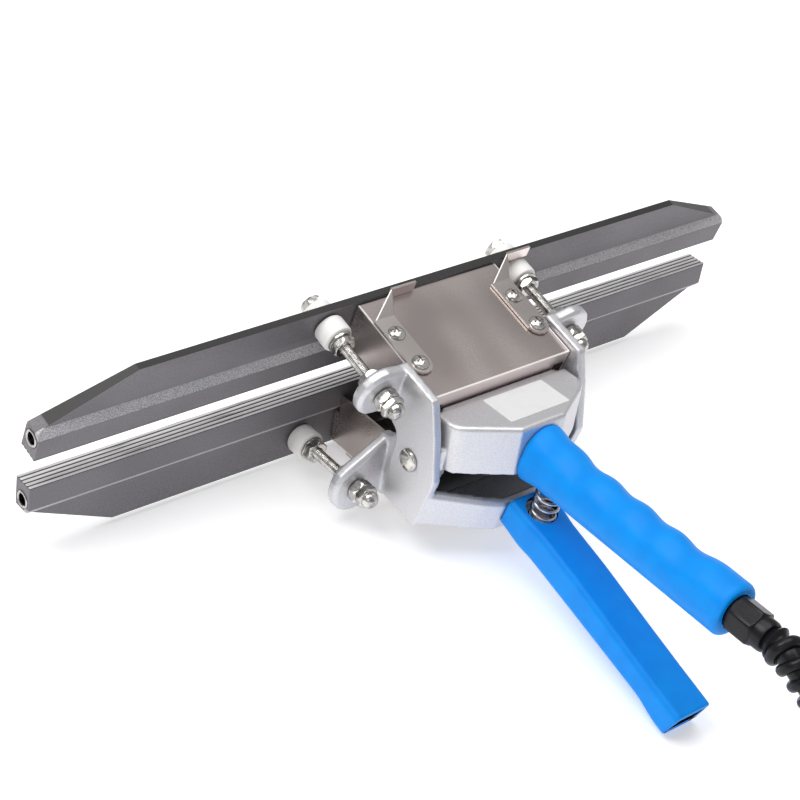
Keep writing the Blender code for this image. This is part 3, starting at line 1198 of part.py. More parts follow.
def floor_tilts():
    """Tilt of each lever about the pivot, so that the lower jaw's side and the lower grip touch the floor."""
    flange_drop = LOWER_COVER_DEPTH + TOUCH_GAP + BRACKET_FLANGE_RISE
    grip_foot = Vector((-LOWER_GRIP_END, -LOWER_GRIP_BOTTOM - LOWER_GRIP_HEEL))
    grip_foot.rotate(Matrix.Rotation(OPEN_ANGLE, 2))
    slopes = []
    for foot in (Vector((FIN_FRONT, -JAW_HEIGHT)), Vector((COVER_FRONT, -flange_drop))):
        slopes.append(math.atan2(foot.y - grip_foot.y, foot.x - grip_foot.x))
    return {"upper_grip": -min(slopes), "lower_grip": OPEN_ANGLE - min(slopes)}


def stand_on_floor(levers):
    """Move the pivot so that the tool stands on the floor with the origin under its middle."""
    bpy.context.view_layer.update()
    corners = [
        piece.matrix_world @ vertex.co
        for piece in bpy.data.objects if piece.type == "MESH" for vertex in piece.data.vertices
    ]
    width = [corner.x for corner in corners]
    depth = [corner.y for corner in corners]
    lowest = min(corner.z for corner in corners)
    shift = Vector((-(min(width) + max(width)) / 2, -(min(depth) + max(depth)) / 2, -lowest))
    for lever in levers.values():
        lever.location = shift
    bpy.context.view_layer.update()
    return shift


def build():
    """Make the whole tool."""
    clear_scene()
    tilts = floor_tilts()
    levers = {}
    for name, tilt in tilts.items():
        lever = bpy.data.objects.new(name + "_lever", None)
        bpy.context.collection.objects.link(lever)
        lever.rotation_euler = (tilt, 0.0, 0.0)
        levers[name] = lever
    add_jaws(levers)
    add_upper_lever(levers["upper_grip"])
    add_lower_lever(levers["lower_grip"])
    add_upper_grip(levers["upper_grip"])
    add_lower_grip(levers["lower_grip"])
    add_upper_cover(levers["lower_grip"])
    add_lower_cover(levers["upper_grip"])
    add_brackets(levers)
    add_pivot_screws(levers["lower_grip"])
    add_bolts(levers)
    add_gland(levers["upper_grip"])
    pivot = stand_on_floor(levers)
    add_return_spring(pivot, tilts)
    turn = levers["upper_grip"].matrix_world
    gland_end = turn @ Vector((0.0, -GLAND_REAR, UPPER_TANG_AXIS_HEIGHT))
    add_cord(gland_end, (turn.to_3x3() @ Vector((0.0, -1.0, 0.0))).normalized())
    print(f"pivot at y {pivot.y / MM:.2f} and z {pivot.z / MM:.2f} mm")
    shown = [f"{math.degrees(tilts[name]):.3f}" for name in ("upper_grip", "lower_grip")]
    print("tilts in degrees:", *shown)


build()
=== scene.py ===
"""Handheld heat sealer: two long heated jaws on a pair of cast levers with blue grips.

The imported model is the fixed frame. Each sub-assembly below is a class that holds its sizes, builds its
meshes over the frame's solids and dresses them in its finishes.
"""
from __future__ import annotations

import json
import logging
from collections.abc import Callable, Iterable, Mapping, Sequence
from dataclasses import dataclass, field, replace
from enum import Enum
from itertools import accumulate
from math import atan2, cos, hypot, pi, radians, sin
from typing import Any

import bmesh
import bpy
from bpy.types import Material, Mesh, Object
from mathutils import Matrix, Vector
from mathutils.geometry import interpolate_bezier

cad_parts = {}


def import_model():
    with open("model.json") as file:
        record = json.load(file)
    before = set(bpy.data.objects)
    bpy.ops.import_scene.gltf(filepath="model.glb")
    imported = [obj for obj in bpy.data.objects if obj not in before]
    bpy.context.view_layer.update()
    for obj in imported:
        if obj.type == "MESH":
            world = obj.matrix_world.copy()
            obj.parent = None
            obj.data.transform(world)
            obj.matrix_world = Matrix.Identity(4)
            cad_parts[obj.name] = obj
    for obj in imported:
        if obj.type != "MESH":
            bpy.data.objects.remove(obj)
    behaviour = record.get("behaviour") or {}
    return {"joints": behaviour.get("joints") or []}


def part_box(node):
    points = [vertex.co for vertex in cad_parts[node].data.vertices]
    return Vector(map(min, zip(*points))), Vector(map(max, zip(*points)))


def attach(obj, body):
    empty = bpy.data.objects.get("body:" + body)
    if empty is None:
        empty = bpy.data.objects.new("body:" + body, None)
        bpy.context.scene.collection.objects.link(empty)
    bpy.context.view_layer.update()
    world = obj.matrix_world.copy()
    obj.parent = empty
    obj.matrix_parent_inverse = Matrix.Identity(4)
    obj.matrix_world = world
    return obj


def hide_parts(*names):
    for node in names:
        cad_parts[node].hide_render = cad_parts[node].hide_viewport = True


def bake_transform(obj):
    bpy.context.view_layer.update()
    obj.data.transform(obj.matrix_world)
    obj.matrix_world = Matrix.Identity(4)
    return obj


LOG = logging.getLogger("heat_sealer")
MM = 0.001
WELD = 0.002 * MM  # vertices closer than this are one
NEAR_WALL = 0.05 * MM  # a face whose middle lies this near to a wall belongs to it
CREASE, GRIP_CREASE, TUBE_CREASE = 32.0, 50.0, 60.0  # least angles of shaded creases in degrees
LEVEL_ANGLE = radians(0.8)  # faces within this angle are one plain face
X_AXIS = Vector((1.0, 0.0, 0.0))
Colour = tuple[float, float, float, float]
Span = tuple[float, float]
Point = tuple[float, float, float]


# ---------------------------------------------------------------------------- named options
class Side(Enum):
    """Side of the tool, as the sign of its X."""

    LEFT = -1
    RIGHT = 1


class Jaw(Enum):
    """Jaw that a lever carries, as the sign of the side of the pivot it lies on."""

    UPPER = 1
    LOWER = -1


class Edge(Enum):
    """Rounding of a dressed solid's edges, in millimetres."""

    CRISP = 0.25
    EASED = 0.4


# ---------------------------------------------------------------------------- node trees
class Signal:
    """A node socket that takes part in arithmetic, each operation adding a Math node."""

    def __init__(self, sketch: NodeSketch, socket: bpy.types.NodeSocket) -> None:
        """Wrap a socket of a sketch's tree."""
        self.sketch, self.socket = sketch, socket

    def math(self, operation: str, *operands: Signal | float) -> Signal:
        """Math node over operands in order."""
        values = dict(enumerate(operands))
        return self.sketch.signal("ShaderNodeMath", {"operation": operation}, values)

    def __add__(self, other: Signal | float) -> Signal:
        """Sum."""
        return self.math("ADD", self, other)

    def __radd__(self, other: float) -> Signal:
        """Sum with a number in front."""
        return self.math("ADD", other, self)

    def __sub__(self, other: Signal | float) -> Signal:
        """Difference."""
        return self.math("SUBTRACT", self, other)

    def __rsub__(self, other: float) -> Signal:
        """Difference from a number."""
        return self.math("SUBTRACT", other, self)

    def __mul__(self, other: Signal | float) -> Signal:
        """Product."""
        return self.math("MULTIPLY", self, other)

    def __rmul__(self, other: float) -> Signal:
        """Product with a number in front."""
        return self.math("MULTIPLY", other, self)

    def __truediv__(self, other: Signal | float) -> Signal:
        """Quotient."""
        return self.math("DIVIDE", self, other)

    def __rtruediv__(self, other: float) -> Signal:
        """Quotient of a number."""
        return self.math("DIVIDE", other, self)

    def __pow__(self, other: Signal | float) -> Signal:
        """Power."""
        return self.math("POWER", self, other)

    def __abs__(self) -> Signal:
        """Size without its sign."""
        return self.math("ABSOLUTE", self)

    def apply(self, operation: str, *others: Signal | float) -> Signal:
        """Any other Math operation, with this value as its first input."""
        return self.math(operation, self, *others)

    def rising(self, low: float, high: float) -> Signal:
        """Smooth share of the way from one value to another."""
        return self.sketch.signal("ShaderNodeMapRange", {"interpolation_type": "SMOOTHSTEP"},
                                  {0: self, 1: low, 2: high})

    def past(self, edge: float, ease: float) -> Signal:
        """Share past an edge, eased on both sides of it."""
        return self.rising(edge - ease, edge + ease)


class NodeSketch:
    """A node tree, and the one way in which nodes are added to it."""

    def __init__(self, tree: bpy.types.NodeTree) -> None:
        """Start on a tree."""
        self.tree = tree

    def add(self, kind: str, settings: Mapping[str, Any] | None = None,
            inputs: Mapping[str | int, Any] | None = None) -> bpy.types.Node:
        """Add a node.

        Args:
            kind: The node's type.
            settings: Its settings, a ramp's stops among them, which are set first.
            inputs: Values or links of its sockets, by name or place.

        Returns:
            The node.
        """
        node = self.tree.nodes.new(kind)
        for name, value in (settings or {}).items():
            if name == "stops":
                ramp = node.color_ramp
                while len(ramp.elements) < len(value):
                    ramp.elements.new(1.0)
                for element, (place, colour) in zip(ramp.elements, value):
                    element.position, element.color = place, (*colour, 1.0)
            else:
                setattr(node, name, value)
        for key, value in (inputs or {}).items():
            if isinstance(value, Signal):
                self.tree.links.new(value.socket, node.inputs[key])
            elif isinstance(value, bpy.types.NodeSocket):
                self.tree.links.new(value, node.inputs[key])
            else:
                node.inputs[key].default_value = value
        return node

    def signal(self, kind: str, settings: Mapping[str, Any] | None = None,
               inputs: Mapping[str | int, Any] | None = None, out: str | int = 0) -> Signal:
        """One output of a node that is added with the same settings and inputs."""
        return Signal(self, self.add(kind, settings, inputs).outputs[out])

    def split(self, vector: Signal) -> list[Signal]:
        """X, Y and Z of a vector."""
        node = self.add("ShaderNodeSeparateXYZ", None, {0: vector})
        return [Signal(self, node.outputs[axis]) for axis in "XYZ"]


class FinishSketch(NodeSketch):
    """Node tree of one finish, around a single shader."""

    def __init__(self, name: str) -> None:
        """Make a material and clear its tree.

        Args:
            name: Name of the material.
        """
        self.material = bpy.data.materials.new(name)
        self.material.use_nodes = True
        super().__init__(self.material.node_tree)
        self.tree.nodes.clear()
        self.output = self.add("ShaderNodeOutputMaterial")

    def place(self, finish: Finish, stretch: Sequence[float] = (1.0, 1.0, 1.0)) -> Signal:
        """Object coordinates laid along a tilted lever and stretched.

        Args:
            finish: Finish whose turn and origin are taken.
            stretch: Factor on each axis after the turn.

        Returns:
            The place.
        """
        spot = self.signal("ShaderNodeTexCoord", out="Object")
        level = self.signal("ShaderNodeMapping", {"vector_type": "TEXTURE"},
                            {"Vector": spot, "Location": finish.origin,
                             "Rotation": (finish.turn, 0.0, 0.0)})
        if tuple(stretch) == (1.0, 1.0, 1.0):
            return level
        return self.signal("ShaderNodeVectorMath", {"operation": "MULTIPLY"}, {0: level, 1: tuple(stretch)})

    def noise(self, finish: Finish, wave: Wave) -> Signal:
        """A wave of a finish, round one half where no mask sharpens it."""
        noise = self.signal("ShaderNodeTexNoise", None, {
            "Vector": self.place(finish, wave.stretch), "Scale": wave.scale, "Detail": wave.detail,
            "Roughness": wave.rough})
        return noise.rising(*wave.mask) if wave.mask else noise

    def facing(self) -> list[Signal]:
        """X, Y and Z of the surface's normal."""
        return self.split(self.signal("ShaderNodeNewGeometry", out="Normal"))

    def mixed(self, share: Signal | float, first: Signal | Colour, second: Signal | Colour) -> Signal:
        """Blend of two colours by the share of the second."""
        return self.signal("ShaderNodeMix", {"data_type": "RGBA"}, {0: share, 6: first, 7: second}, out=2)

    def bumped(self, height: Signal, distance: float, strength: float) -> Signal:
        """Normal that follows a height, from the relief's depth in metres and how much of it shows."""
        return self.signal("ShaderNodeBump", None,
                           {"Height": height, "Distance": distance, "Strength": strength}, out="Normal")

    def close(self, **values: Any) -> Material:
        """Add the shader.

        Args:
            values: Values or links of its sockets, spaces written as underscores.

        Returns:
            The material.
        """
        inputs = {name.replace("_", " "): value for name, value in values.items()}
        shader = self.add("ShaderNodeBsdfPrincipled", None, inputs)
        self.tree.links.new(shader.outputs[0], self.output.inputs["Surface"])
        return self.material


def shade(red: float, green: float, blue: float) -> Colour:
    """Opaque linear colour."""
    return red, green, blue, 1.0


# ---------------------------------------------------------------------------- finishes
@dataclass(frozen=True)
class Wave:
    """A noise of a finish with its weights in colour, gloss and relief; a mask sharpens it for all
    three, a ramp for the colour alone."""

    scale: float
    detail: float = 3.0
    rough: float = 0.55
    stretch: Point = (1.0, 1.0, 1.0)
    mask: Span | None = None
    ramp: Span | None = None
    tone: float = 0.0
    gloss: float = 0.0
    relief: float = 0.0


@dataclass(frozen=True)
class Finish:
    """A finish: its material slot in the record, the turn about X and the origin of its pattern, and
    a shader whose colour, gloss and relief are sums of waves."""

    slot: str = ""
    turn: float = 0.0
    origin: Point = (0.0, 0.0, 0.0)
    dark: Colour = shade(0.1, 0.1, 0.1)
    light: Colour = shade(0.9, 0.9, 0.9)
    waves: tuple[Wave, ...] = ()
    bias: float = 0.0
    # painted shade: how much the colour darkens where the surface is seen at a grazing angle
    away: float = 0.0
    away_ramp: Span = (0.45, 0.85)
    metallic: float = 0.0
    roughness: float = 0.4
    specular: float = 0.5
    ior: float = 1.5
    coat: float = 0.0
    glow: float = 0.0
    depth: float = 0.02 * MM
    strength: float = 0.4

    def material(self) -> Material:
        """The finish's material, made once."""
        name = f"{type(self).__name__}_{round(self.turn * 1000)}"
        return bpy.data.materials.get(name) or self.sketch(FinishSketch(name))

    def sums(self, sheet: FinishSketch) -> tuple[Any, Any, Any]:
        """Add up the waves.

        Args:
            sheet: Tree to draw in.

        Returns:
            Share of the light colour, roughness and height.
        """
        share, roughness, height = self.bias, self.roughness, 0.0
        for wave in self.waves:
            noise = sheet.noise(self, wave)
            tone = noise.rising(*wave.ramp) if wave.ramp else noise
            share = share + tone * wave.tone if wave.tone else share
            roughness = roughness + noise * wave.gloss if wave.gloss else roughness
            height = height + noise * wave.relief if wave.relief else height
        return share, roughness, height

    def sketch(self, sheet: FinishSketch) -> Material:
        """Draw the sums of the waves, with painted shade where the surface is seen at a grazing angle.

        Args:
            sheet: Tree to draw in.

        Returns:
            The material.
        """
        share, roughness, height = self.sums(sheet)
        # painted shade at grazing angles
        if self.away:
            facing = sheet.signal("ShaderNodeLayerWeight", None, {"Blend": 0.5}, out="Facing")
            share = share * (1 - facing.rising(*self.away_ramp) * self.away)
        return sheet.close(Base_Color=sheet.mixed(share, self.dark, self.light), Metallic=self.metallic,
                           Roughness=roughness, Specular_IOR_Level=self.specular, IOR=self.ior,
                           Coat_Weight=self.coat, Emission_Color=shade(1.0, 1.0, 1.0),
                           Emission_Strength=self.glow,
                           Normal=sheet.bumped(height, self.depth, self.strength))


@dataclass(frozen=True)
class CoatedJaw(Finish):
    """Dark grey, finely speckled coating of the jaws; places are in the lever's frame."""

    slot: str = "jaw_coating"
    dark: Colour = shade(0.120, 0.113, 0.123)
    light: Colour = shade(0.200, 0.188, 0.202)
    sanded_dark: Colour = shade(0.26, 0.252, 0.263)
    sanded_light: Colour = shade(0.60, 0.585, 0.605)
    # painted shade on the fin's flat top
    edge_dark: Colour = shade(0.035, 0.034, 0.033)
    # rubbed wear on the sealing ridges together with a painted highlight
    ridge_bright: Colour = shade(0.80, 0.79, 0.79)
    # painted shade in the grooves between the ridges
    groove_dark: Colour = shade(0.012, 0.012, 0.012)
    waves: tuple[Wave, ...] = (
        Wave(1500.0, 4.0, 0.7, ramp=(0.34, 0.68), tone=0.6, relief=1.0),
        Wave(28.0, ramp=(0.3, 0.7), tone=0.25),
        Wave(900.0, stretch=(0.04, 1.0, 1.0), tone=0.15))
    pits: Wave = Wave(2250.0, 3.0, 0.6, mask=(0.36, 0.62))
    # where the ridges show rubbed wear and a painted highlight
    rubs: Wave = Wave(900.0, stretch=(0.04, 1.0, 1.0), mask=(0.2, 0.5))
    shoulder: Span = (12.3 * MM, 16.1 * MM)
    shoulder_front: float = 63.6 * MM
    fin_foot: float = 17 * MM
    level_ramp: Span = (0.45, 0.6)
    ridge_top: float = 0.22 * MM
    groove_floor: float = 0.55 * MM
    face_reach: float = 0.95 * MM
    ease: float = 0.12 * MM
    metallic: float = 0.35
    roughness: float = 0.52
    depth: float = 0.05 * MM
    strength: float = 0.35

    def sketch(self, sheet: FinishSketch) -> Material:
        """Even coat, a sanded shoulder, painted shade on the fin's flat top, and on the sealing face ridges
        of rubbed wear with a painted highlight between grooves of painted shade.

        Args:
            sheet: Tree to draw in.

        Returns:
            The material.
        """
        share, roughness, speckle = self.sums(sheet)
        _, along, upright = sheet.split(sheet.place(self))
        height, level, ease = abs(upright), abs(sheet.facing()[2]), self.ease
        low, high = self.shoulder
        sanded = height.past(low, ease) * (1 - height.past(high, ease))
        sanded = sanded * (1 - along.past(self.shoulder_front, ease))
        # mask of the painted shade on the fin's flat top
        edge = height.past(self.fin_foot, ease) * level.rising(*self.level_ramp)
        face = 1 - height.rising(self.face_reach - ease, self.face_reach)
        # mask of the painted shade in the grooves
        groove = height.rising(self.ridge_top, self.groove_floor)
        rubbed = sheet.mixed(sheet.noise(self, self.pits), self.sanded_dark, self.sanded_light)
        coat = sheet.mixed(sanded, sheet.mixed(share, self.dark, self.light), rubbed)
        coat = sheet.mixed(edge, coat, self.edge_dark)
        # ridges: rubbed wear with a painted highlight; grooves: painted shade
        ridges = sheet.mixed(sheet.noise(self, self.rubs), coat, self.ridge_bright)
        coat = sheet.mixed(face, coat, sheet.mixed(groove, ridges, self.groove_dark))
        return sheet.close(Base_Color=coat, Metallic=self.metallic,
                           Roughness=roughness - share * 0.12 + sanded * 0.1,
                           Normal=sheet.bumped(speckle, self.depth, self.strength))


@dataclass(frozen=True)
class CastAluminium(Finish):
    """Satin die-cast aluminium: fine grain on a slowly waving skin, with faint darker pores."""

    slot: str = "cast_aluminium"
    dark: Colour = shade(0.55, 0.545, 0.562)
    light: Colour = shade(0.75, 0.745, 0.765)
    waves: tuple[Wave, ...] = (
        Wave(1900.0, 4.0, 0.65, ramp=(0.3, 0.7), tone=0.75, gloss=0.12, relief=0.45),
        Wave(190.0, 2.0, relief=0.55),
        Wave(620.0, 2.0, mask=(0.66, 0.78), tone=-0.25, gloss=0.1, relief=-0.3))
    bias: float = 0.25
    metallic: float = 0.82
    roughness: float = 0.38
    depth: float = 0.07 * MM
    strength: float = 0.55


@dataclass(frozen=True)
class StainlessSheet(Finish):
    """Smooth rolled stainless sheet with faint streaks along X and a slow smoky tone that is a painted
    reflection.

    Its painted rim highlights lie at the given side, crown and rear of the lever's frame, and the wall that
    faces -Y carries painted light.
    """

    slot: str = "stainless_sheet"
    dark: Colour = shade(0.40, 0.350, 0.333)
    light: Colour = shade(0.585, 0.520, 0.495)
    # painted light on the wall that faces -Y, and a painted highlight on the rims
    wall_light: Colour = shade(0.90, 0.80, 0.78)
    rim_light: Colour = shade(0.95, 0.91, 0.88)
    waves: tuple[Wave, ...] = (
        # slow smoky tone: a painted reflection; fine streaks along X: grain
        Wave(30.0, 1.0, 0.4, (1.0, 0.6, 1.0), ramp=(0.3, 0.72), tone=0.97, gloss=0.08, relief=1.0),
        Wave(1500.0, 2.0, 0.5, (0.01, 1.0, 1.0), tone=0.03, gloss=0.02))
    rear_ramp: Span = (0.55, 0.8)
    side: float = 1.0
    crown: float = 1.0
    rear: float = 5 * MM
    rim_band: Span = (0.3 * MM, 0.9 * MM)
    metallic: float = 0.96
    roughness: float = 0.22
    strength: float = 0.25

    def sketch(self, sheet: FinishSketch) -> Material:
        """Waves with painted light on the wall that faces -Y and painted highlights on the rims.

        Args:
            sheet: Tree to draw in.

        Returns:
            The material.
        """
        share, roughness, smoke = self.sums(sheet)
        # mask of the painted light on the wall that faces -Y
        rear = (sheet.facing()[1] * -1).rising(*self.rear_ramp)
        across, along, height = sheet.split(sheet.place(self))
        # mask of the painted highlight along the rims, which also lowers metallic and raises roughness
        # there
        near, far = self.rim_band
        high = abs(height).rising(self.crown - far, self.crown - near)
        beside = abs(across).rising(self.side - far, self.side - near)
        rim = high * beside.apply("MAXIMUM", 1 - along.rising(self.rear + near, self.rear + far))
        colour = sheet.mixed(rear, sheet.mixed(share, self.dark, self.light), self.wall_light)
        return sheet.close(Base_Color=sheet.mixed(rim, colour, self.rim_light),
                           Metallic=self.metallic - rim * 0.3,
                           Roughness=roughness + rear * 0.12 + rim * 0.15,
                           Normal=sheet.bumped(smoke, self.depth, self.strength))


@dataclass(frozen=True)
class BracketSheet(StainlessSheet):
    """Lighter sheet of the pressed brackets."""

    dark: Colour = shade(0.50, 0.462, 0.435)
    light: Colour = shade(0.70, 0.655, 0.620)


@dataclass(frozen=True)
class BrightNickel(Finish):
    """Bright nickel plating with fine pits and faint clouds, with painted shade where it is seen at a
    grazing angle.
    """

    slot: str = "nickel_steel"
    dark: Colour = shade(0.24, 0.23, 0.22)
    light: Colour = shade(0.76, 0.74, 0.70)
    waves: tuple[Wave, ...] = (
        Wave(260.0, ramp=(0.28, 0.6), tone=0.8, gloss=0.1, relief=1.0),
        Wave(2400.0, tone=0.2, gloss=0.05, relief=0.3))
    away: float = 0.8
    metallic: float = 1.0
    roughness: float = 0.11


@dataclass(frozen=True)
class SpringWire(BrightNickel):
    """Drawn spring wire."""

    slot: str = "spring_steel"
    dark: Colour = shade(0.36, 0.36, 0.37)
    light: Colour = shade(0.66, 0.66, 0.67)


@dataclass(frozen=True)
class TubeSteel(BrightNickel):
    """Greyer steel of the heater tubes."""

    dark: Colour = shade(0.30, 0.29, 0.28)
    light: Colour = shade(0.55, 0.54, 0.53)


@dataclass(frozen=True)
class WhiteBush(Finish):
    """White insulating bushes with faint warm marks."""

    slot: str = "white_insulator"
    dark: Colour = shade(0.70, 0.66, 0.60)
    light: Colour = shade(0.90, 0.885, 0.86)
    waves: tuple[Wave, ...] = (
        Wave(210.0, 4.0, ramp=(0.52, 0.8), tone=-0.5), Wave(2100.0, 2.0, gloss=0.12, relief=1.0))
    bias: float = 1.0
    roughness: float = 0.38


@dataclass(frozen=True)
class GripPlastic(Finish):
    """Blue dipped skin of the grips: fine pebble, slow flow marks, slightly uneven gloss."""

    slot: str = "blue_grip"
    dark: Colour = shade(0.0, 0.245, 0.80)
    light: Colour = shade(0.0, 0.300, 0.88)
    waves: tuple[Wave, ...] = (
        Wave(1700.0, 3.0, 0.6, tone=0.3, gloss=0.08, relief=0.5),
        Wave(85.0, ramp=(0.25, 0.75), tone=0.7, gloss=0.1, relief=2.0))
    roughness: float = 0.36
    specular: float = 0.22
    ior: float = 1.46
    depth: float = 0.035 * MM
    strength: float = 0.5


@dataclass(frozen=True)
class BlackNylon(Finish):
    """Black moulded nylon with a fine grain."""

    slot: str = "black_nylon"
    dark: Colour = shade(0.004, 0.004, 0.006)
    light: Colour = shade(0.009, 0.009, 0.013)
    waves: tuple[Wave, ...] = (
        Wave(2200.0, gloss=0.12, relief=1.0), Wave(120.0, ramp=(0.3, 0.7), tone=1.0, gloss=0.1))
    roughness: float = 0.18
    specular: float = 0.26
    depth: float = 0.03 * MM
    strength: float = 0.5


@dataclass(frozen=True)
class DarkLining(BlackNylon):
    """Matt black: painted shade inside the bores and pockets of the dipped grips, and the black heat
    shield, which also stands in for shade inside the casting.
    """

    dark: Colour = shade(0.004, 0.004, 0.004)
    light: Colour = shade(0.010, 0.010, 0.010)
    roughness: float = 0.42
    specular: float = 0.2


@dataclass(frozen=True)
class CordSheath(BlackNylon):
    """Matt black sheath of the cord."""

    slot: str = "black_cord"
    dark: Colour = shade(0.008, 0.008, 0.009)
    light: Colour = shade(0.020, 0.020, 0.021)
    roughness: float = 0.42


@dataclass(frozen=True)
class BlankPlate(Finish):
    """Plain satin plate, a pale film with a fine rub and faint stains."""

    slot: str = "white_insulator"
    dark: Colour = shade(0.56, 0.55, 0.54)
    light: Colour = shade(0.74, 0.74, 0.74)
    waves: tuple[Wave, ...] = (
        Wave(1500.0, stretch=(0.1, 1.0, 1.0), gloss=0.14, relief=1.0),
        Wave(130.0, 4.0, ramp=(0.5, 0.8), tone=-0.35))
    bias: float = 1.0
    roughness: float = 0.3
    coat: float = 0.25
    depth: float = 0.01 * MM


@dataclass(frozen=True)
class PaleFloor(Finish):
    """White studio board with a trace of paper grain, which shines a little of its own."""

    dark: Colour = shade(0.90, 0.90, 0.905)
    light: Colour = shade(0.93, 0.93, 0.935)
    waves: tuple[Wave, ...] = (Wave(700.0, tone=1.0, relief=1.0),)
    roughness: float = 0.75
    glow: float = 0.36
    strength: float = 0.2


# ---------------------------------------------------------------------------- mesh craft
def shaded(mesh: Mesh, crease: float = CREASE) -> Mesh:
    """Smooth shading, broken at creases.

    Args:
        mesh: Mesh to shade.
        crease: Least angle of a crease in degrees.

    Returns:
        The same mesh.
    """
    mesh.shade_smooth()
    mesh.set_sharp_from_angle(angle=radians(crease))
    return mesh


def mesh_of(bm: bmesh.types.BMesh, name: str, crease: float = CREASE) -> Mesh:
    """Close a working mesh: doubles merged, faces outwards.

    Args:
        bm: Working mesh, freed here.
        name: Name of the result.
        crease: Least angle of a shaded crease in degrees.

    Returns:
        The finished mesh.
    """
    bmesh.ops.remove_doubles(bm, verts=bm.verts, dist=WELD)
    bmesh.ops.recalc_face_normals(bm, faces=bm.faces)
    mesh = bpy.data.meshes.new(name)
    bm.to_mesh(mesh)
    bm.free()
    return shaded(mesh, crease)


def lofted(name: str, rings: Sequence[Sequence[Vector]], looped: bool = False,
           crease: float = CREASE) -> Mesh:
    """Skin over rings of equal counts.

    Args:
        name: Name of the mesh.
        rings: Rings in order.
        looped: Whether the last ring joins the first, else both ends are capped.
        crease: Least angle of a shaded crease in degrees.

    Returns:
        The closed mesh.
    """
    bm = bmesh.new()
    rows = [[bm.verts.new(point) for point in ring] for ring in rings]
    pairs = list(zip(rows, rows[1:])) + ([(rows[-1], rows[0])] if looped else [])
    for near, far in pairs:
        for place in range(len(near)):
            after = (place + 1) % len(near)
            bm.faces.new((near[place], near[after], far[after], far[place]))
    if not looped:
        bm.faces.new(rows[0])
        bm.faces.new(rows[-1])
    return mesh_of(bm, name, crease)


def circle(radius: float | Callable[[float], float], y: float, sides: int,
           centre: Span = (0.0, 0.0)) -> list[Vector]:
    """Ring of points round an axis along Y.

    Args:
        radius: Radius, or its rule over the angle.
        y: Place along the axis.
        sides: Number of points.
        centre: X and Z of the axis.

    Returns:
        The points.
    """
    ring = []
    for step in range(sides):
        angle = 2 * pi * step / sides
        reach = radius(angle) if callable(radius) else radius
        ring.append(Vector((centre[0] + reach * cos(angle), y, centre[1] + reach * sin(angle))))
    return ring


def quarter(steps: int) -> list[Span]:
    """Cosine and sine of each step through a quarter turn, both ends included."""
    angles = [pi / 2 * step / steps for step in range(steps + 1)]
    return [(cos(angle), sin(angle)) for angle in angles]


def hexagon(flats: float, limit: float) -> Callable[[float], float]:
    """Radius of a hexagon over the angle, its corners trimmed at a greatest radius."""
    return lambda angle: min(limit, flats / 2 / cos((angle + pi / 6) % (pi / 3) - pi / 6))


def turned(name: str, profile: Sequence[tuple[Any, float]], sides: int = 48, looped: bool = False,
           centre: Span = (0.0, 0.0)) -> Mesh:
    """Turned piece along Y, from the radius, or its rule over the angle, and the place of each ring."""
    return lofted(name, [circle(radius, y, sides, centre) for radius, y in profile], looped)


def hex_profile(flats: float, start: float, end: float, bore: float = 0.0,
                chamfer: float = 0.7 * MM) -> list[tuple[Any, float]]:
    """Profile of a hexagon with both rims chamfered.

    Args:
        flats: Width across its flats.
        start: One face along Y.
        end: Other face.
        bore: Radius of its bore, none if zero.
        chamfer: Depth of the chamfers.

    Returns:
        Rings for `turned`.
    """
    way = chamfer if end > start else -chamfer
    half, corner = flats / 2, flats / 2 / cos(pi / 6)
    steps = ((half * 0.97, 0.0), (half * 1.03, 0.32), (corner * 0.955, 0.68), (corner, 1.0))
    first = [(hexagon(flats, limit), start + way * deep) for limit, deep in steps]
    last = [(hexagon(flats, limit), end - way * deep) for limit, deep in reversed(steps)]
    lip, flared = 0.3 * way, bore * 1.12
    inner = [(flared, end), (bore, end - lip), (bore, start + lip), (flared, start)]
    return first + last + (inner if bore else [])


def joined(name: str, meshes: Iterable[Mesh]) -> Mesh:
    """Several meshes as one.

    Args:
        name: Name of the result.
        meshes: Meshes, whose shading is kept.

    Returns:
        The joined mesh.
    """
    bm = bmesh.new()
    for mesh in meshes:
        bm.from_mesh(mesh)
    result = bpy.data.meshes.new(name)
    bm.to_mesh(result)
    bm.free()
    return result


def linked(name: str, data: bpy.types.ID) -> Object:
    """Object over some data, in the scene.

    Args:
        name: Name of the object.
        data: Its mesh, curve, camera or light.

    Returns:
        The object.
    """
    obj = bpy.data.objects.new(name, data)
    bpy.context.collection.objects.link(obj)
    return obj


def evaluated(obj: Object, name: str) -> Mesh:
    """Plain mesh of an object with its modifiers worked in; the object is removed.

    Args:
        obj: Helper object.
        name: Name of the mesh.

    Returns:
        The mesh.
    """
    graph = bpy.context.evaluated_depsgraph_get()
    mesh = bpy.data.meshes.new_from_object(obj.evaluated_get(graph), preserve_all_data_layers=True,
                                           depsgraph=graph)
    obj.modifiers.clear()
    bpy.data.objects.remove(obj)
    mesh.name = name
    return mesh


def cut(name: str, base: Mesh, tools: Sequence[Mesh], crease: float = CREASE) -> Mesh:
    """Cut solids out of a mesh.

    Args:
        name: Name of the result.
        base: Mesh to cut.
        tools: Closed cutters.
        crease: Least angle of a shaded crease in degrees.

    Returns:
        The cut mesh.
    """
    obj = linked(f"{name}_base", base)
    cutters = [linked(f"{name}_cutter_{place}", tool) for place, tool in enumerate(tools)]
    for cutter in cutters:
        modifier = obj.modifiers.new("cut", "BOOLEAN")
        modifier.operation, modifier.solver, modifier.object = "DIFFERENCE", "EXACT", cutter
    mesh = evaluated(obj, name)
    for cutter in cutters:
        bpy.data.objects.remove(cutter)
    return shaded(mesh, crease)


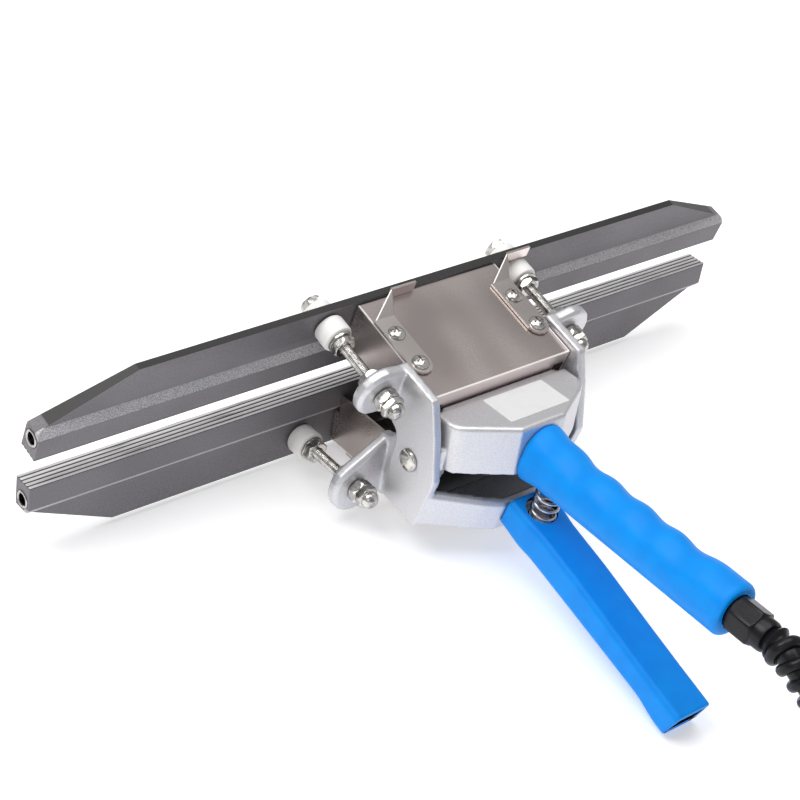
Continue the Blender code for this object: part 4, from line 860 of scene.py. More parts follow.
def merged_copy(node: str) -> Mesh:
    """Copy of a node's mesh with its triangles merged into plain faces.

    Args:
        node: Name of the solid.

    Returns:
        The mesh, without materials.
    """
    bm = bmesh.new()
    bm.from_mesh(bpy.data.objects[node].data)
    bmesh.ops.remove_doubles(bm, verts=bm.verts, dist=WELD)
    bmesh.ops.dissolve_limit(bm, angle_limit=LEVEL_ANGLE, verts=bm.verts, edges=bm.edges)
    mesh = bpy.data.meshes.new(f"{node}_copy")
    bm.to_mesh(mesh)
    bm.free()
    mesh.materials.clear()
    return mesh


def add_piece(name: str, mesh: Mesh, finish: Finish, body: str | None,
              nodes: Sequence[str] = ()) -> Object:
    """Put a finished mesh in the scene.

    Args:
        name: Name of the piece.
        mesh: Its mesh, in place.
        finish: Its finish.
        body: Body that it rides on, or none for a piece attached to neither lever.
        nodes: Solids that it stands for.

    Returns:
        The piece.
    """
    mesh.materials.clear()
    mesh.materials.append(finish.material())
    piece = linked(name, mesh)
    if body:
        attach(piece, body)
    if nodes:
        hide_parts(*nodes)
    LOG.info("%s: %d faces on %s", name, len(mesh.polygons), body)
    return piece


def rounded_copy(node: str, edge: Edge, crease: float = 28.0) -> Mesh:
    """Copy of a node's mesh with its creased edges rounded.

    Args:
        node: Name of the solid.
        edge: Rounding.
        crease: Least angle of a rounded edge in degrees.

    Returns:
        The mesh.
    """
    obj = linked(f"{node}_rounded", shaded(merged_copy(node), crease))
    modifier = obj.modifiers.new("rounding", "BEVEL")
    modifier.width, modifier.segments = edge.value * MM, 2
    modifier.limit_method, modifier.angle_limit = "ANGLE", radians(crease)
    modifier.harden_normals, modifier.miter_outer = True, "MITER_ARC"
    return evaluated(obj, node)


def lined(piece: Object, lining: Finish, inside: Callable[[Vector], bool]) -> None:
    """Give the inner faces of a piece a second finish.

    Args:
        piece: Piece to line.
        lining: Finish of the lining.
        inside: Whether a face's middle lies inside.
    """
    piece.data.materials.append(lining.material())
    for face in piece.data.polygons:
        if inside(face.center):
            face.material_index = 1


# ---------------------------------------------------------------------------- levers
@dataclass(frozen=True)
class Lever:
    """A lever of the tool: its body, the jaw that it carries and its place."""

    body: str
    jaw: Jaw
    tilt: float
    pivot: Vector

    @property
    def turn(self) -> float:
        """Tilt in radians."""
        return radians(self.tilt)

    @property
    def matrix(self) -> Matrix:
        """From the lever's own frame, its origin in the pivot, to the world."""
        return Matrix.Translation(self.pivot) @ Matrix.Rotation(self.turn, 4, "X")

    @property
    def word(self) -> str:
        """Word that names the jaw's pieces."""
        return self.jaw.name.lower()

    def placed(self, mesh: Mesh) -> Mesh:
        """A mesh moved from the lever's frame to the world."""
        mesh.transform(self.matrix)
        return mesh

    def dressed(self, kind: type[Finish]) -> Finish:
        """A finish whose pattern lies along the lever."""
        return kind(turn=self.turn, origin=tuple(self.pivot))

    def piece(self, name: str, mesh: Mesh, finish: Finish | type[Finish], *nodes: str) -> Object:
        """A piece on the lever in place of the solids named; a kind of finish is laid along the lever."""
        finish = self.dressed(finish) if isinstance(finish, type) else finish
        return add_piece(name, mesh, finish, self.body, nodes)


# ---------------------------------------------------------------------------- cord
@dataclass
class CordSet:
    """Cord with its gland, spiral strain relief, coil and plug; sizes in metres."""

    lever: Lever
    cord_radius: float = 3.5 * MM
    sheath_steps: int = 5
    touch_gap: float = 0.3 * MM
    exit_depth: float = 172.8 * MM
    exit_height: float = 11.1 * MM
    step: float = 4 * MM
    knot_steps: int = 12
    route_points: tuple[Point, ...] = (
        (-1.8, -140, 76.5), (-1.8, -153, 71), (-1.4, -165, 60), (-0.3, -175, 44), (2.2, -185, 28),
        (7.5, -197, 14), (16, -212, 6.5), (28, -227, 3.9), (45, -237, 3.55), (64, -241, 3.55))
    tail_points: tuple[Point, ...] = (
        (143.2, -175, 26.2), (146, -161, 23.6), (148.3, -147, 19.8), (149, -133, 18.1))
    coil_centre: Span = (95 * MM, -197 * MM)
    coil_radius: float = 44 * MM
    coil_pitch: float = 7.6 * MM
    coil_layers: int = 4
    coil_loops: float = 6.25
    loop_steps: int = 96
    layer_loops: float = 1.5
    first_height: float = 3.55 * MM
    plug_place: Point = (149 * MM, -117 * MM, 18.05 * MM)
    plug_length: float = 44 * MM
    plug_radius: float = 18 * MM
    plug_neck: float = 5.2 * MM
    plug_profile: tuple[Span, ...] = (
        (0.0, 0.0), (0.02, 0.25), (0.1, 0.32), (0.22, 0.4), (0.35, 0.45), (0.6, 0.52),
        (0.85, 0.62), (0.95, 0.68), (1.0, 0.76), (1.0, 0.95), (0.985, 0.985), (0.94, 1.0))
    plug_ribbed: Span = (0.3, 0.66)
    plug_sides: int = 96
    plug_ribs: int = 24
    plug_rib: float = 0.35 * MM
    pin_offset: float = 9.5 * MM
    pin_length: float = 19 * MM
    pin_sides: int = 24
    pin_profile: tuple[Span, ...] = (
        (2.4 * MM, 1.4 * MM), (2.1 * MM, 0.5 * MM), (1.3 * MM, 0.0), (0.0, 0.0))
    relief_turns: int = 6
    relief_pitch: float = 7.8 * MM
    relief_steps: int = 36
    relief_gap: float = 0.75 * MM
    relief_ribs: Span = (2.2 * MM, 1.5 * MM)
    relief_lead: int = 6
    relief_tip: float = 0.7
    rib_width: float = 1.25
    rib_sides: int = 16
    sleeve_steps: int = 60
    sleeve_sides: int = 28
    sleeve_wall: Span = (0.35 * MM, 1.3 * MM)
    collar_place: float = 2.4 * MM
    collar_half: float = 2.3 * MM
    collar_height: float = 3.4 * MM
    gland_sides: int = 72
    gland_flats: float = 15.2 * MM
    gland_chamfer: float = 1.2 * MM
    gland_front: float = 149.3 * MM
    gland_hex: float = 153.8 * MM
    gland_length: float = 13.5 * MM
    gland_collar: float = 7.4 * MM
    gland_nose: float = 7.2 * MM
    nose_profile: tuple[Span, ...] = (
        (1.0, 1.6 * MM), (0.95, 0.5 * MM), (0.84, 0.05 * MM), (0.66, 0.02 * MM), (0.0, 0.02 * MM))
    route: list[Vector] = field(default_factory=list)
    lengths: list[float] = field(default_factory=list)

    @property
    def exit(self) -> Vector:
        """Point where the cord leaves the gland."""
        return self.lever.matrix @ Vector((0.0, -self.exit_depth, self.exit_height))

    @property
    def leaving(self) -> Vector:
        """Direction in which it leaves."""
        return (self.lever.matrix.to_3x3() @ Vector((0.0, -1.0, 0.0))).normalized()

    def smooth(self, points: Sequence[Vector], leaving: Vector, arriving: Vector) -> list[Vector]:
        """Smooth curve through points that leaves and arrives along given directions.

        Args:
            points: Points to pass.
            leaving: Direction at the first.
            arriving: Direction at the last.

        Returns:
            Points of the curve.
        """
        tangents = [leaving]
        tangents += [(after - before).normalized() for before, after in zip(points, points[2:])]
        tangents.append(arriving)
        curve = [points[0]]
        for place in range(len(points) - 1):
            start, end = points[place], points[place + 1]
            reach = (end - start).length / 3
            curve += interpolate_bezier(start, start + tangents[place] * reach,
                                        end - tangents[place + 1] * reach, end, self.knot_steps)[1:]
        return curve

    def free(self, start: Vector, leaving: Vector, chosen: Iterable[Sequence[float]], end: Vector,
             arriving: Vector) -> list[Vector]:
        """Free stretch of cord, its first and last diameter straight.

        Args:
            start: First point.
            leaving: Direction there.
            chosen: Points to pass, in millimetres.
            end: Last point.
            arriving: Direction there.

        Returns:
            Points at an even spacing.
        """
        run = self.cord_radius * 2
        knots = [start + leaving * run, *(Vector(point) * MM for point in chosen), end - arriving * run]
        return [start, *evenly(self.smooth(knots, leaving, arriving), self.step), end]

    def coil(self) -> list[Vector]:
        """Coil of four layers that wind inwards and outwards in turn, with straight ends.

        Returns:
            Points of the coil's middle line.
        """
        layer = round(self.layer_loops * self.loop_steps)
        loops = []
        for step in range(round(self.coil_loops * self.loop_steps) + 1):
            level = min(step // layer, self.coil_layers - 1)
            within = step - layer * level
            inwards = within if level % 2 == 0 else layer - within
            radius = self.coil_radius - self.coil_pitch * inwards / self.loop_steps
            height = self.first_height
            for change in range(1, self.coil_layers):
                risen = (step - layer * change) * 2 / self.loop_steps + 0.5
                height += self.coil_pitch * min(1.0, max(0.0, risen))
            angle = -pi / 2 + 2 * pi * step / self.loop_steps
            loops.append(Vector((self.coil_centre[0] + radius * cos(angle),
                                 self.coil_centre[1] + radius * sin(angle), height)))
        straight = self.cord_radius * 2
        onward = Vector((-sin(angle), cos(angle), 0.0))
        return [loops[0] - Vector((straight, 0.0, 0.0)), *loops, loops[-1] + onward * straight]

    def whole_route(self) -> list[Vector]:
        """The cord's centreline from the gland to the plug.

        Returns:
            Points of the centreline.
        """
        coil = self.coil()
        inward = (coil[1] - coil[0]).normalized()
        outward = (coil[-1] - coil[-2]).normalized()
        forward = Vector((0.0, 1.0, 0.0))
        plug = Vector(self.plug_place)
        start = self.exit + self.leaving * self.touch_gap
        first = self.free(start, self.leaving, self.route_points, coil[0] - inward * self.touch_gap, inward)
        tail = self.free(coil[-1] + outward * self.touch_gap, outward, self.tail_points,
                         plug - forward * self.touch_gap, forward)
        return first + coil + tail

    def make_cord(self) -> Object:
        """Sheathed cord as one open spline.

        Returns:
            The cord, in place of the solids that it replaces, which are hidden.
        """
        name, finish = "power_cord", CordSheath()
        curve = bpy.data.curves.new(name, "CURVE")
        curve.dimensions, curve.bevel_depth = "3D", self.cord_radius
        curve.bevel_resolution = self.sheath_steps
        curve.use_fill_caps = True
        spline = curve.splines.new("POLY")
        spline.points.add(len(self.route) - 1)
        for spot, point in zip(spline.points, self.route):
            spot.co = (*point, 1.0)
        spline.use_smooth = True
        curve.materials.append(finish.material())
        cord = linked(name, curve)
        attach(cord, self.lever.body)
        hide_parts("cord", "cord_coil", "cord_tail")
        return cord

    def on_route(self, distance: float) -> tuple[Vector, Vector]:
        """Spot on the cord.

        Args:
            distance: Distance along the cord from the gland.

        Returns:
            The cord's middle there and its direction.
        """
        place = max(index for index, length in enumerate(self.lengths) if length <= distance)
        near, far = self.route[place], self.route[place + 1]
        share = (distance - self.lengths[place]) / (self.lengths[place + 1] - self.lengths[place])
        along = (far - near).normalized()
        if place:
            along = along.lerp((near - self.route[place - 1]).normalized(), 0.5 * (1 - share)).normalized()
        return near.lerp(far, share), along

    def relief_mesh(self) -> Mesh:
        """Tapering spiral rib round the cord, on a thin sleeve that ends in a rounded lip.

        Returns:
            The mesh, in place.
        """
        first, last = self.relief_ribs
        count, foot, lead = self.relief_turns * self.relief_steps, first * 2, self.relief_lead
        bare = self.cord_radius + self.relief_gap
        rings, sleeve, radii = [], [], []
        for step in range(-lead, count + lead):
            wound = min(max(step, 0), count - 1)
            rib = first + (last - first) * wound / count
            distance = foot + self.relief_pitch * wound / self.relief_steps
            if step < 0:
                distance = foot * (step + lead) / lead
            elif step >= count:
                distance += rib * 2 * (step - count + 1) / lead
            middle, along = self.on_route(distance)
            angle = 2 * pi * wound / self.relief_steps
            outward = X_AXIS.cross(along).normalized() * cos(angle) - X_AXIS * sin(angle)
            size = rib * (self.relief_tip if step in (-lead, count + lead - 1) else 1.0)
            rings.append([middle + (bare + rib) * outward
                          + size * (outward * cos(turn) + along * self.rib_width * sin(turn))
                          for turn in (2 * pi * n / self.rib_sides for n in range(self.rib_sides))])
        span = foot + self.relief_pitch * self.relief_turns - 1 * MM
        end_wall, added_wall = self.sleeve_wall
        for step in range(self.sleeve_steps + 1):
            distance = span * step / self.sleeve_steps
            sleeve.append(self.on_route(distance)[0])
            swell = max(0.0, 1 - abs(distance - self.collar_place) / self.collar_half) ** 0.5
            taper = end_wall + added_wall * (1 - step / self.sleeve_steps)
            radii.append(bare + max(taper, swell * self.collar_height))
        radii[-1] = self.cord_radius + self.touch_gap
        return joined("strain_relief_rib", [lofted("rib", rings, crease=TUBE_CREASE),
                                            swept("sleeve", sleeve, radii, self.sleeve_sides)])

    def gland_mesh(self) -> Mesh:
        """Gland: a collar in the grip, a hexagon and a round nose.

        Returns:
            The mesh, in place.
        """
        collar, nose, end = self.gland_collar, self.gland_nose, self.exit_depth
        hex_end = self.gland_hex + self.gland_length
        rings = [(0.0, -self.gland_front), (collar, -self.gland_front), (collar, -self.gland_hex)]
        rings += hex_profile(self.gland_flats, -self.gland_hex, -hex_end, 0.0, self.gland_chamfer)
        rings.append((nose, -hex_end - 0.1 * MM))
        rings += [(nose * share, short - end) for share, short in self.nose_profile]
        mesh = turned("gland_body", rings, self.gland_sides, centre=(0.0, self.exit_height))
        return self.lever.placed(mesh)

    def plug_meshes(self) -> tuple[Mesh, Mesh]:
        """Moulded plug with finger ribs, and its two round pins.

        Returns:
            The plug's body and the pins, in place.
        """
        length, tip = self.plug_length, self.plug_length + self.pin_length
        rings: list[tuple[Any, float]] = [(0.0, 0.0)]
        for share, place in self.plug_profile:
            depth = self.plug_rib if self.plug_ribbed[0] < place < self.plug_ribbed[1] else 0.0
            reach = self.plug_neck + share * (self.plug_radius - self.plug_neck)
            rings.append((lambda angle, reach=reach, depth=depth:
                          reach - depth * (1 + cos(self.plug_ribs * angle)) / 2, place * length))
        body = turned("plug_body", [*rings, (0.0, length)], self.plug_sides)
        start = length - 0.5 * MM
        profile = [(0.0, start), (self.pin_profile[0][0], start)]
        profile += [(radius, tip - short) for radius, short in self.pin_profile]
        pins = joined("plug_pins", [
            turned("pin", profile, self.pin_sides, centre=(side.value * self.pin_offset, 0.0))
            for side in Side])
        for mesh in (body, pins):
            mesh.transform(Matrix.Translation(self.plug_place))
        return body, pins

    def build(self) -> None:
        self.route = self.whole_route()
        self.lengths = run_lengths(self.route)
        cord, lever = self.make_cord(), self.lever
        relief = lever.piece("strain_relief_rib", self.relief_mesh(), BlackNylon(), "strain_relief")
        lever.piece("gland_body", self.gland_mesh(), BlackNylon, "gland")
        plug_mesh, pin_mesh = self.plug_meshes()
        plug = lever.piece("plug_body", plug_mesh, BlackNylon(), "plug")
        pins = lever.piece("plug_pins", pin_mesh, BrightNickel())
        tuple(self.exit)
        LOG.info("cord: %.0f mm", self.lengths[-1] / MM)


def run_lengths(points: Sequence[Vector]) -> list[float]:
    """Length of a line up to each of its points."""
    steps = ((after - before).length for before, after in zip(points, points[1:]))
    return list(accumulate(steps, initial=0.0))


def evenly(curve: Sequence[Vector], step: float) -> list[Vector]:
    """Points on a curve at an even spacing.

    Args:
        curve: Points of the curve.
        step: Spacing to come close to.

    Returns:
        The points, first and last kept.
    """
    lengths = run_lengths(curve)
    count = max(1, round(lengths[-1] / step))
    points, place = [], 0
    for index in range(count + 1):
        target = lengths[-1] * index / count
        while place < len(curve) - 2 and lengths[place + 1] < target:
            place += 1
        share = (target - lengths[place]) / (lengths[place + 1] - lengths[place])
        points.append(curve[place].lerp(curve[place + 1], min(1.0, share)))
    return points


def swept(name: str, points: Sequence[Vector], radii: Sequence[float], sides: int) -> Mesh:
    """Round tube along points, its ends closed.

    Args:
        name: Name of the mesh.
        points: Centreline.
        radii: Radius at each point.
        sides: Points round it.

    Returns:
        The mesh.
    """
    rings, across = [], X_AXIS
    for place, (point, radius) in enumerate(zip(points, radii)):
        ahead, behind = points[min(place + 1, len(points) - 1)], points[max(place - 1, 0)]
        along = (ahead - behind).normalized()
        across = (across - along * across.dot(along)).normalized()
        over = along.cross(across)
        rings.append([point + radius * (across * cos(2 * pi * n / sides) + over * sin(2 * pi * n / sides))
                      for n in range(sides)])
    return lofted(name, rings, crease=TUBE_CREASE)


# ---------------------------------------------------------------------------- repeated pieces
class RepeatTree(NodeSketch):
    """Geometry tree with named inputs that ends in Realize Instances and Set Material."""

    def __init__(self, name: str, **inputs: str) -> None:
        """Make a tree.

        Args:
            name: Name of the tree.
            inputs: Type of each input after the geometry and the finish, spaces written as underscores.
        """
        super().__init__(bpy.data.node_groups.new(name, "GeometryNodeTree"))
        sockets = [("Geometry", "OUTPUT", "Geometry"), ("Geometry", "INPUT", "Geometry"),
                   ("Finish", "INPUT", "Material")]
        sockets += [(label.replace("_", " "), "INPUT", kind) for label, kind in inputs.items()]
        for label, way, kind in sockets:
            self.tree.interface.new_socket(name=label, in_out=way, socket_type=f"NodeSocket{kind}")
        self.entry = self.add("NodeGroupInput")

    def given(self, label: str) -> Signal:
        """Named input of the tree."""
        return Signal(self, self.entry.outputs[label])

    def close(self, sample: Signal, smooth: bool, turn: Signal | Point = (0.0, 0.0, 0.0)) -> RepeatTree:
        """Set one shape on every point of the host and close the tree on it.

        Args:
            sample: Shape to repeat.
            smooth: Whether it still needs smooth shading.
            turn: Turn of each one.

        Returns:
            The tree itself.
        """
        if smooth:
            sample = self.signal("GeometryNodeSetShadeSmooth", None, {"Geometry": sample})
        row = self.signal("GeometryNodeInstanceOnPoints", None,
                          {"Points": self.given("Geometry"), "Instance": sample, "Rotation": turn})
        real = self.signal("GeometryNodeRealizeInstances", None, {"Geometry": row})
        dressed = self.signal("GeometryNodeSetMaterial", None,
                              {"Geometry": real, "Material": self.given("Finish")})
        self.add("NodeGroupOutput", None, {"Geometry": dressed})
        return self

    def bake(self, name: str, points: Sequence[Vector], finish: Finish, **values: Any) -> Mesh:
        """Run the tree on a host of bare points.

        Args:
            name: Name of the mesh.
            points: Points of the host.
            finish: Finish of the shapes.
            values: Value of each other input, spaces written as underscores and a pattern as its mesh.

        Returns:
            The plain mesh.
        """
        host_mesh = bpy.data.meshes.new(f"{name}_host")
        host_mesh.from_pydata([tuple(point) for point in points], [], [])
        host = bpy.data.objects.new(f"{name}_host", host_mesh)
        modifier = host.modifiers.new("repeat", "NODES")
        modifier.node_group = self.tree
        sockets = {item.name: item.identifier for item in self.tree.interface.items_tree
                   if item.in_out == "INPUT"}
        samples = {label: linked(f"{name}_{label}", value) for label, value in values.items()
                   if isinstance(value, Mesh)}
        for label, value in {"Finish": finish.material(), **values, **samples}.items():
            modifier[sockets[label.replace("_", " ")]] = value
        bpy.context.collection.objects.link(host)
        baked = evaluated(host, name)
        for sample in samples.values():
            bpy.data.objects.remove(sample)
        return baked


def fastener_tree() -> RepeatTree:
    """One pattern piece at every point, each turned by chance about its own Y axis.

    Returns:
        The tree.
    """
    tree = RepeatTree("fastener_row", Pattern="Object", Greatest_turn="Float", Seed="Int")
    most = tree.given("Greatest turn")
    chance = tree.signal("FunctionNodeRandomValue", {"data_type": "FLOAT"},
                         {2: most * -1.0, 3: most, "Seed": tree.given("Seed")}, out=1)
    turn = tree.signal("ShaderNodeCombineXYZ", None, {"Y": chance})
    pattern = tree.signal("GeometryNodeObjectInfo", {"transform_space": "ORIGINAL"},
                          {"Object": tree.given("Pattern"), "As Instance": True}, out="Geometry")
    return tree.close(pattern, False, turn)


def thread_tree() -> RepeatTree:
    """A threaded rod along Y at every point, its crest a helix worked out from place and angle.

    Returns:
        The tree.
    """
    tree = RepeatTree("threaded_rod", Radius="Float", Depth="Float", Pitch="Float", Start="Float",
                      Length="Float", Rows="Int", Sides="Int")
    given = tree.given
    grid = tree.signal("GeometryNodeMeshGrid", None, {
        "Size X": 1.0, "Size Y": 1.0, "Vertices X": given("Rows"),
        "Vertices Y": given("Sides")}, out="Mesh")
    x, y, _ = tree.split(tree.signal("GeometryNodeInputPosition"))
    along, turn = x + 0.5, y + 0.5
    run, angle = along * given("Length"), turn * (2 * pi)
    phase = (run / given("Pitch") + turn).apply("FRACT")
    crest = abs(phase * 2.0 - 1.0).rising(0.12, 0.9)
    inside = along.apply("GREATER_THAN", 0.0005) * along.apply("LESS_THAN", 0.9995)
    radius = (given("Radius") - given("Depth") * crest) * inside
    shape = tree.signal("ShaderNodeCombineXYZ", None, {
        "X": radius * angle.apply("COSINE"), "Y": run + given("Start"), "Z": radius * angle.apply("SINE")})
    moved = tree.signal("GeometryNodeSetPosition", None, {"Geometry": grid, "Position": shape})
    closed = tree.signal("GeometryNodeMergeByDistance", None, {"Geometry": moved, "Distance": 2 * WELD})
    return tree.close(closed, True)


def coil_tree() -> RepeatTree:
    """Round wire on an upright coil at every point, closed at both ends.

    Returns:
        The tree.
    """
    tree = RepeatTree("wound_coil", Coil_radius="Float", Wire_radius="Float", Height="Float", Curls="Float")
    reach = tree.given("Coil radius")
    line = tree.signal("GeometryNodeCurveSpiral", None, {
        "Resolution": 40, "Rotations": tree.given("Curls"), "Start Radius": reach, "End Radius": reach,
        "Height": tree.given("Height")})
    wire = tree.signal("GeometryNodeCurvePrimitiveCircle", None,
                       {"Resolution": 14, "Radius": tree.given("Wire radius")}, out="Curve")
    return tree.close(tree.signal("GeometryNodeCurveToMesh", None,
                                  {"Curve": line, "Profile Curve": wire, "Fill Caps": True}), True)


@dataclass
class Fasteners:
    """Bolts, nuts, washers and bushes of one lever, at places in the lever's frame."""

    lever: Lever
    row_tree: RepeatTree
    rod_tree: RepeatTree
    bolt_x: float = 54.2 * MM
    bolt_z: float = 25.5 * MM
    rod_radius: float = 2.62 * MM
    rod_rows: int = 330
    rod_sides: int = 25
    thread_depth: float = 0.32 * MM
    thread_pitch: float = 0.8 * MM
    tail: float = 11.4 * MM
    head: Span = (73.4 * MM, 77.4 * MM)
    washer: Span = (67.6 * MM, 73.1 * MM)
    bush: Span = (54.0 * MM, 63.0 * MM)
    bush_radius: float = 7.2 * MM
    plate_washer: Span = (52.2 * MM, 53.75 * MM)
    plate_radius: float = 5.9 * MM
    jaw_nut: Span = (48.7 * MM, 52.15 * MM)
    lug_front_nut: Span = (26.3 * MM, 31.3 * MM)
    lug_rear_nut: Span = (14.5 * MM, 19.5 * MM)
    acorn: Span = (14.2 * MM, 6.8 * MM)
    acorn_hex: float = 3 * MM
    neck: float = 1.2 * MM
    dome: float = 4.1 * MM
    dome_steps: int = 8
    flats: float = 10 * MM
    bore: float = 2.7 * MM
    loose_turn: float = 0.5

    @property
    def bolt_points(self) -> list[Vector]:
        """Places of the two bolts."""
        height = self.lever.jaw.value * self.bolt_z
        return [Vector((side.value * self.bolt_x, 0.0, height)) for side in Side]

    def pair(self, part: str) -> list[str]:
        """Names of the two solids of one kind."""
        return [f"{self.lever.word}_{part}_{side.name.lower()}" for side in Side]

    def row(self, part: str, node: str, pattern: Mesh, kind: type[Finish], most: float, seed: int) -> None:
        """Place one pattern at both bolts as one piece.

        Args:
            part: Name of the piece after the jaw's word.
            node: Kind of the solids that it stands for.
            pattern: Mesh of the pattern, along Y.
            kind: Kind of its finish.
            most: Greatest chance turn about Y in radians.
            seed: Seed of the chance.
        """
        name = f"{self.lever.word}_{part}"
        mesh = self.row_tree.bake(name, self.bolt_points, self.lever.dressed(kind), Pattern=pattern,
                                  Greatest_turn=most, Seed=seed)
        self.lever.piece(name, self.lever.placed(mesh), kind, *self.pair(node))

    def ring(self, span: Span, radius: float, rounding: float) -> Mesh:
        """Washer or bush with rounded rims.

        Args:
            span: Its two faces along Y.
            radius: Outer radius.
            rounding: Rounding of its outer rims.

        Returns:
            The pattern.
        """
        low, high = span
        rim = [(radius - rounding, 0.0), (radius - rounding * 0.3, rounding * 0.3), (radius, rounding)]
        rings = [(reach, low + deep) for reach, deep in rim]
        rings += [(reach, high - deep) for reach, deep in reversed(rim)]
        return turned("ring_pattern", [*rings, (self.bore, high), (self.bore, low)], 56, looped=True)

    def nut(self, span: Span) -> Mesh:
        """Hexagonal nut between two faces along Y."""
        return turned("nut", hex_profile(self.flats, *span, self.bore), looped=True)

    def acorn_pattern(self) -> Mesh:
        """Domed nut: a short hexagon, a neck and a round dome.

        Returns:
            The pattern.
        """
        front, rear = self.acorn
        hex_end, neck_end = front - self.acorn_hex, front - self.acorn_hex - self.neck
        rings = [(0.0, front)] + hex_profile(self.flats, front, hex_end, 0.0, 0.6 * MM)
        rings += [(self.dome - 0.05 * MM, hex_end - 0.12 * MM), (self.dome, neck_end)]
        rings += [(self.dome * x, neck_end - (neck_end - rear) * y)
                  for x, y in quarter(self.dome_steps)[1:-1]]
        return turned("acorn_pattern", [*rings, (0.0, rear)])

    def build(self) -> None:
        """Make every fastener of the lever's jaw."""
        lever, word, way, points = self.lever, self.lever.word, self.lever.jaw.value, self.bolt_points
        nickel, turn = lever.dressed(BrightNickel), self.loose_turn
        rods = self.rod_tree.bake(f"{word}_rods", points, nickel, Radius=self.rod_radius,
                                  Depth=self.thread_depth, Pitch=self.thread_pitch, Start=self.tail,
                                  Length=self.head[0] - self.tail + 0.5 * MM, Rows=self.rod_rows,
                                  Sides=self.rod_sides)
        profile = hex_profile(self.flats, *self.head, 0.0, 0.8 * MM)
        head = turned("bolt_head", [(0.0, self.head[0]), *profile, (0.0, self.head[1])])
        heads = self.row_tree.bake(f"{word}_heads", points, nickel, Pattern=head,
                                   Greatest_turn=turn, Seed=3)
        name = f"{word}_jaw_bolts"
        lever.piece(name, lever.placed(joined(name, [rods, heads])), nickel, *self.pair("bolt"))
        plate = self.ring(self.plate_washer, self.plate_radius, 0.25 * MM)
        for row in (
                ("front_bushes", "front_insulator", self.ring(self.washer, self.bush_radius, 0.9 * MM),
                 WhiteBush, 0.0, 1),
                ("rear_bushes", "rear_insulator", self.ring(self.bush, self.bush_radius, 1.1 * MM),
                 WhiteBush, 0.0, 1),
                ("jaw_nuts", "jaw_nut", joined("nut_and_plate", [self.nut(self.jaw_nut), plate]),
                 BrightNickel, turn, 7 + way),
                ("lug_front_nuts", "lug_front_nut", self.nut(self.lug_front_nut),
                 BrightNickel, turn, 11 + way),
                ("lug_rear_nuts", "lug_rear_nut", self.nut(self.lug_rear_nut),
                 BrightNickel, turn, 17 + way),
                ("acorn_nuts", "acorn_nut", self.acorn_pattern(), BrightNickel, turn, 23)):
            self.row(*row)


@dataclass
class Screws:
    """Round-headed screw along Y with a driving recess; the sizes are those of a bracket's screw."""

    radius: float = 4 * MM
    height: float = 2.4 * MM
    shank: Span = (2 * MM, 5 * MM)
    slotted: bool = False
    rim: float = 0.22
    dome_steps: int = 8
    recess_width: float = 1.0 * MM
    recess_length: float = 4.6 * MM
    recess_depth: float = 1.5 * MM
    recess_rise: float = 0.2 * MM

    def pattern(self) -> Mesh:
        """Head on a shank, with one slot or else a cross.

        Returns:
            The pattern.
        """
        shank, length = self.shank
        rings = [(0.0, -length), (shank, -length), (shank, 0.0), (self.radius, 0.0)]
        rings += [(self.radius * x, self.height * (self.rim + (1 - self.rim) * y))
                  for x, y in quarter(self.dome_steps)[:-1]]
        rings.append((0.0, self.height))
        deep, wide = self.recess_depth * 2, self.recess_width
        long = self.radius * 3 if self.slotted else self.recess_length
        tools = []
        for size in ((long, deep, wide), (wide, deep, long))[:1 if self.slotted else 2]:
            bm = bmesh.new()
            lift = Matrix.Translation((0.0, self.height + self.recess_rise, 0.0))
            bmesh.ops.create_cube(bm, size=1.0, matrix=lift @ Matrix.Diagonal((*size, 1.0)))
            tools.append(mesh_of(bm, "recess"))
        return cut("screw_pattern", turned("screw", rings, 40), tools)


# ---------------------------------------------------------------------------- jaws
@dataclass
class JawSet:
    """One jaw with its heater tube."""

    lever: Lever
    tube_radius: float = 4.0 * MM
    tube_bore: float = 2.8 * MM
    tube_ease: float = 0.3 * MM
    crease: float = 20.0

    def tube_mesh(self) -> Mesh:
        """Heater tube along X with eased rims.

        Returns:
            The mesh, in place.
        """
        low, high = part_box(f"{self.lever.word}_heater_tube")
        middle, half = (low + high) / 2, (high.x - low.x) / 2
        out, bore, ease = self.tube_radius, self.tube_bore, self.tube_ease
        rings = [(out - ease, -half), (out, ease - half), (out, half - ease), (out - ease, half),
                 (bore + ease, half), (bore, half - ease), (bore, ease - half), (bore + ease, -half)]
        mesh = turned("heater_tube", rings, looped=True)
        mesh.transform(Matrix.Translation(middle) @ Matrix.Rotation(pi / 2, 4, "Z"))
        return mesh

    def build(self) -> None:
        """Make the jaw and its tube."""
        word, lever = self.lever.word, self.lever
        bar = rounded_copy(f"{word}_jaw", Edge.CRISP, self.crease)
        lever.piece(f"{word}_jaw_bar", bar, CoatedJaw, f"{word}_jaw")
        lever.piece(f"{word}_heater_sleeve", self.tube_mesh(), TubeSteel(), f"{word}_heater_tube")


# ---------------------------------------------------------------------------- castings
@dataclass
class Casting:
    """Die-cast handle frame of one lever, its edges and inner corners rounded as cast."""

    lever: Lever
    node: str
    voxel: float = 0.62 * MM
    passes: int = 3
    strength: float = 0.5
    kept: float = 0.5

    def build(self) -> None:
        """Lay an even skin over the solid, smoothed and thinned."""
        obj = linked(f"{self.node}_skin", merged_copy(self.node))
        skin = obj.modifiers.new("skin", "REMESH")
        skin.mode, skin.voxel_size, skin.use_smooth_shade = "VOXEL", self.voxel, True
        soften = obj.modifiers.new("soften", "SMOOTH")
        soften.factor, soften.iterations = self.strength, self.passes
        obj.modifiers.new("thin", "DECIMATE").ratio = self.kept
        mesh = evaluated(obj, self.node)
        mesh.shade_smooth()
        self.lever.piece(f"{self.node}_casting", mesh, CastAluminium, self.node)


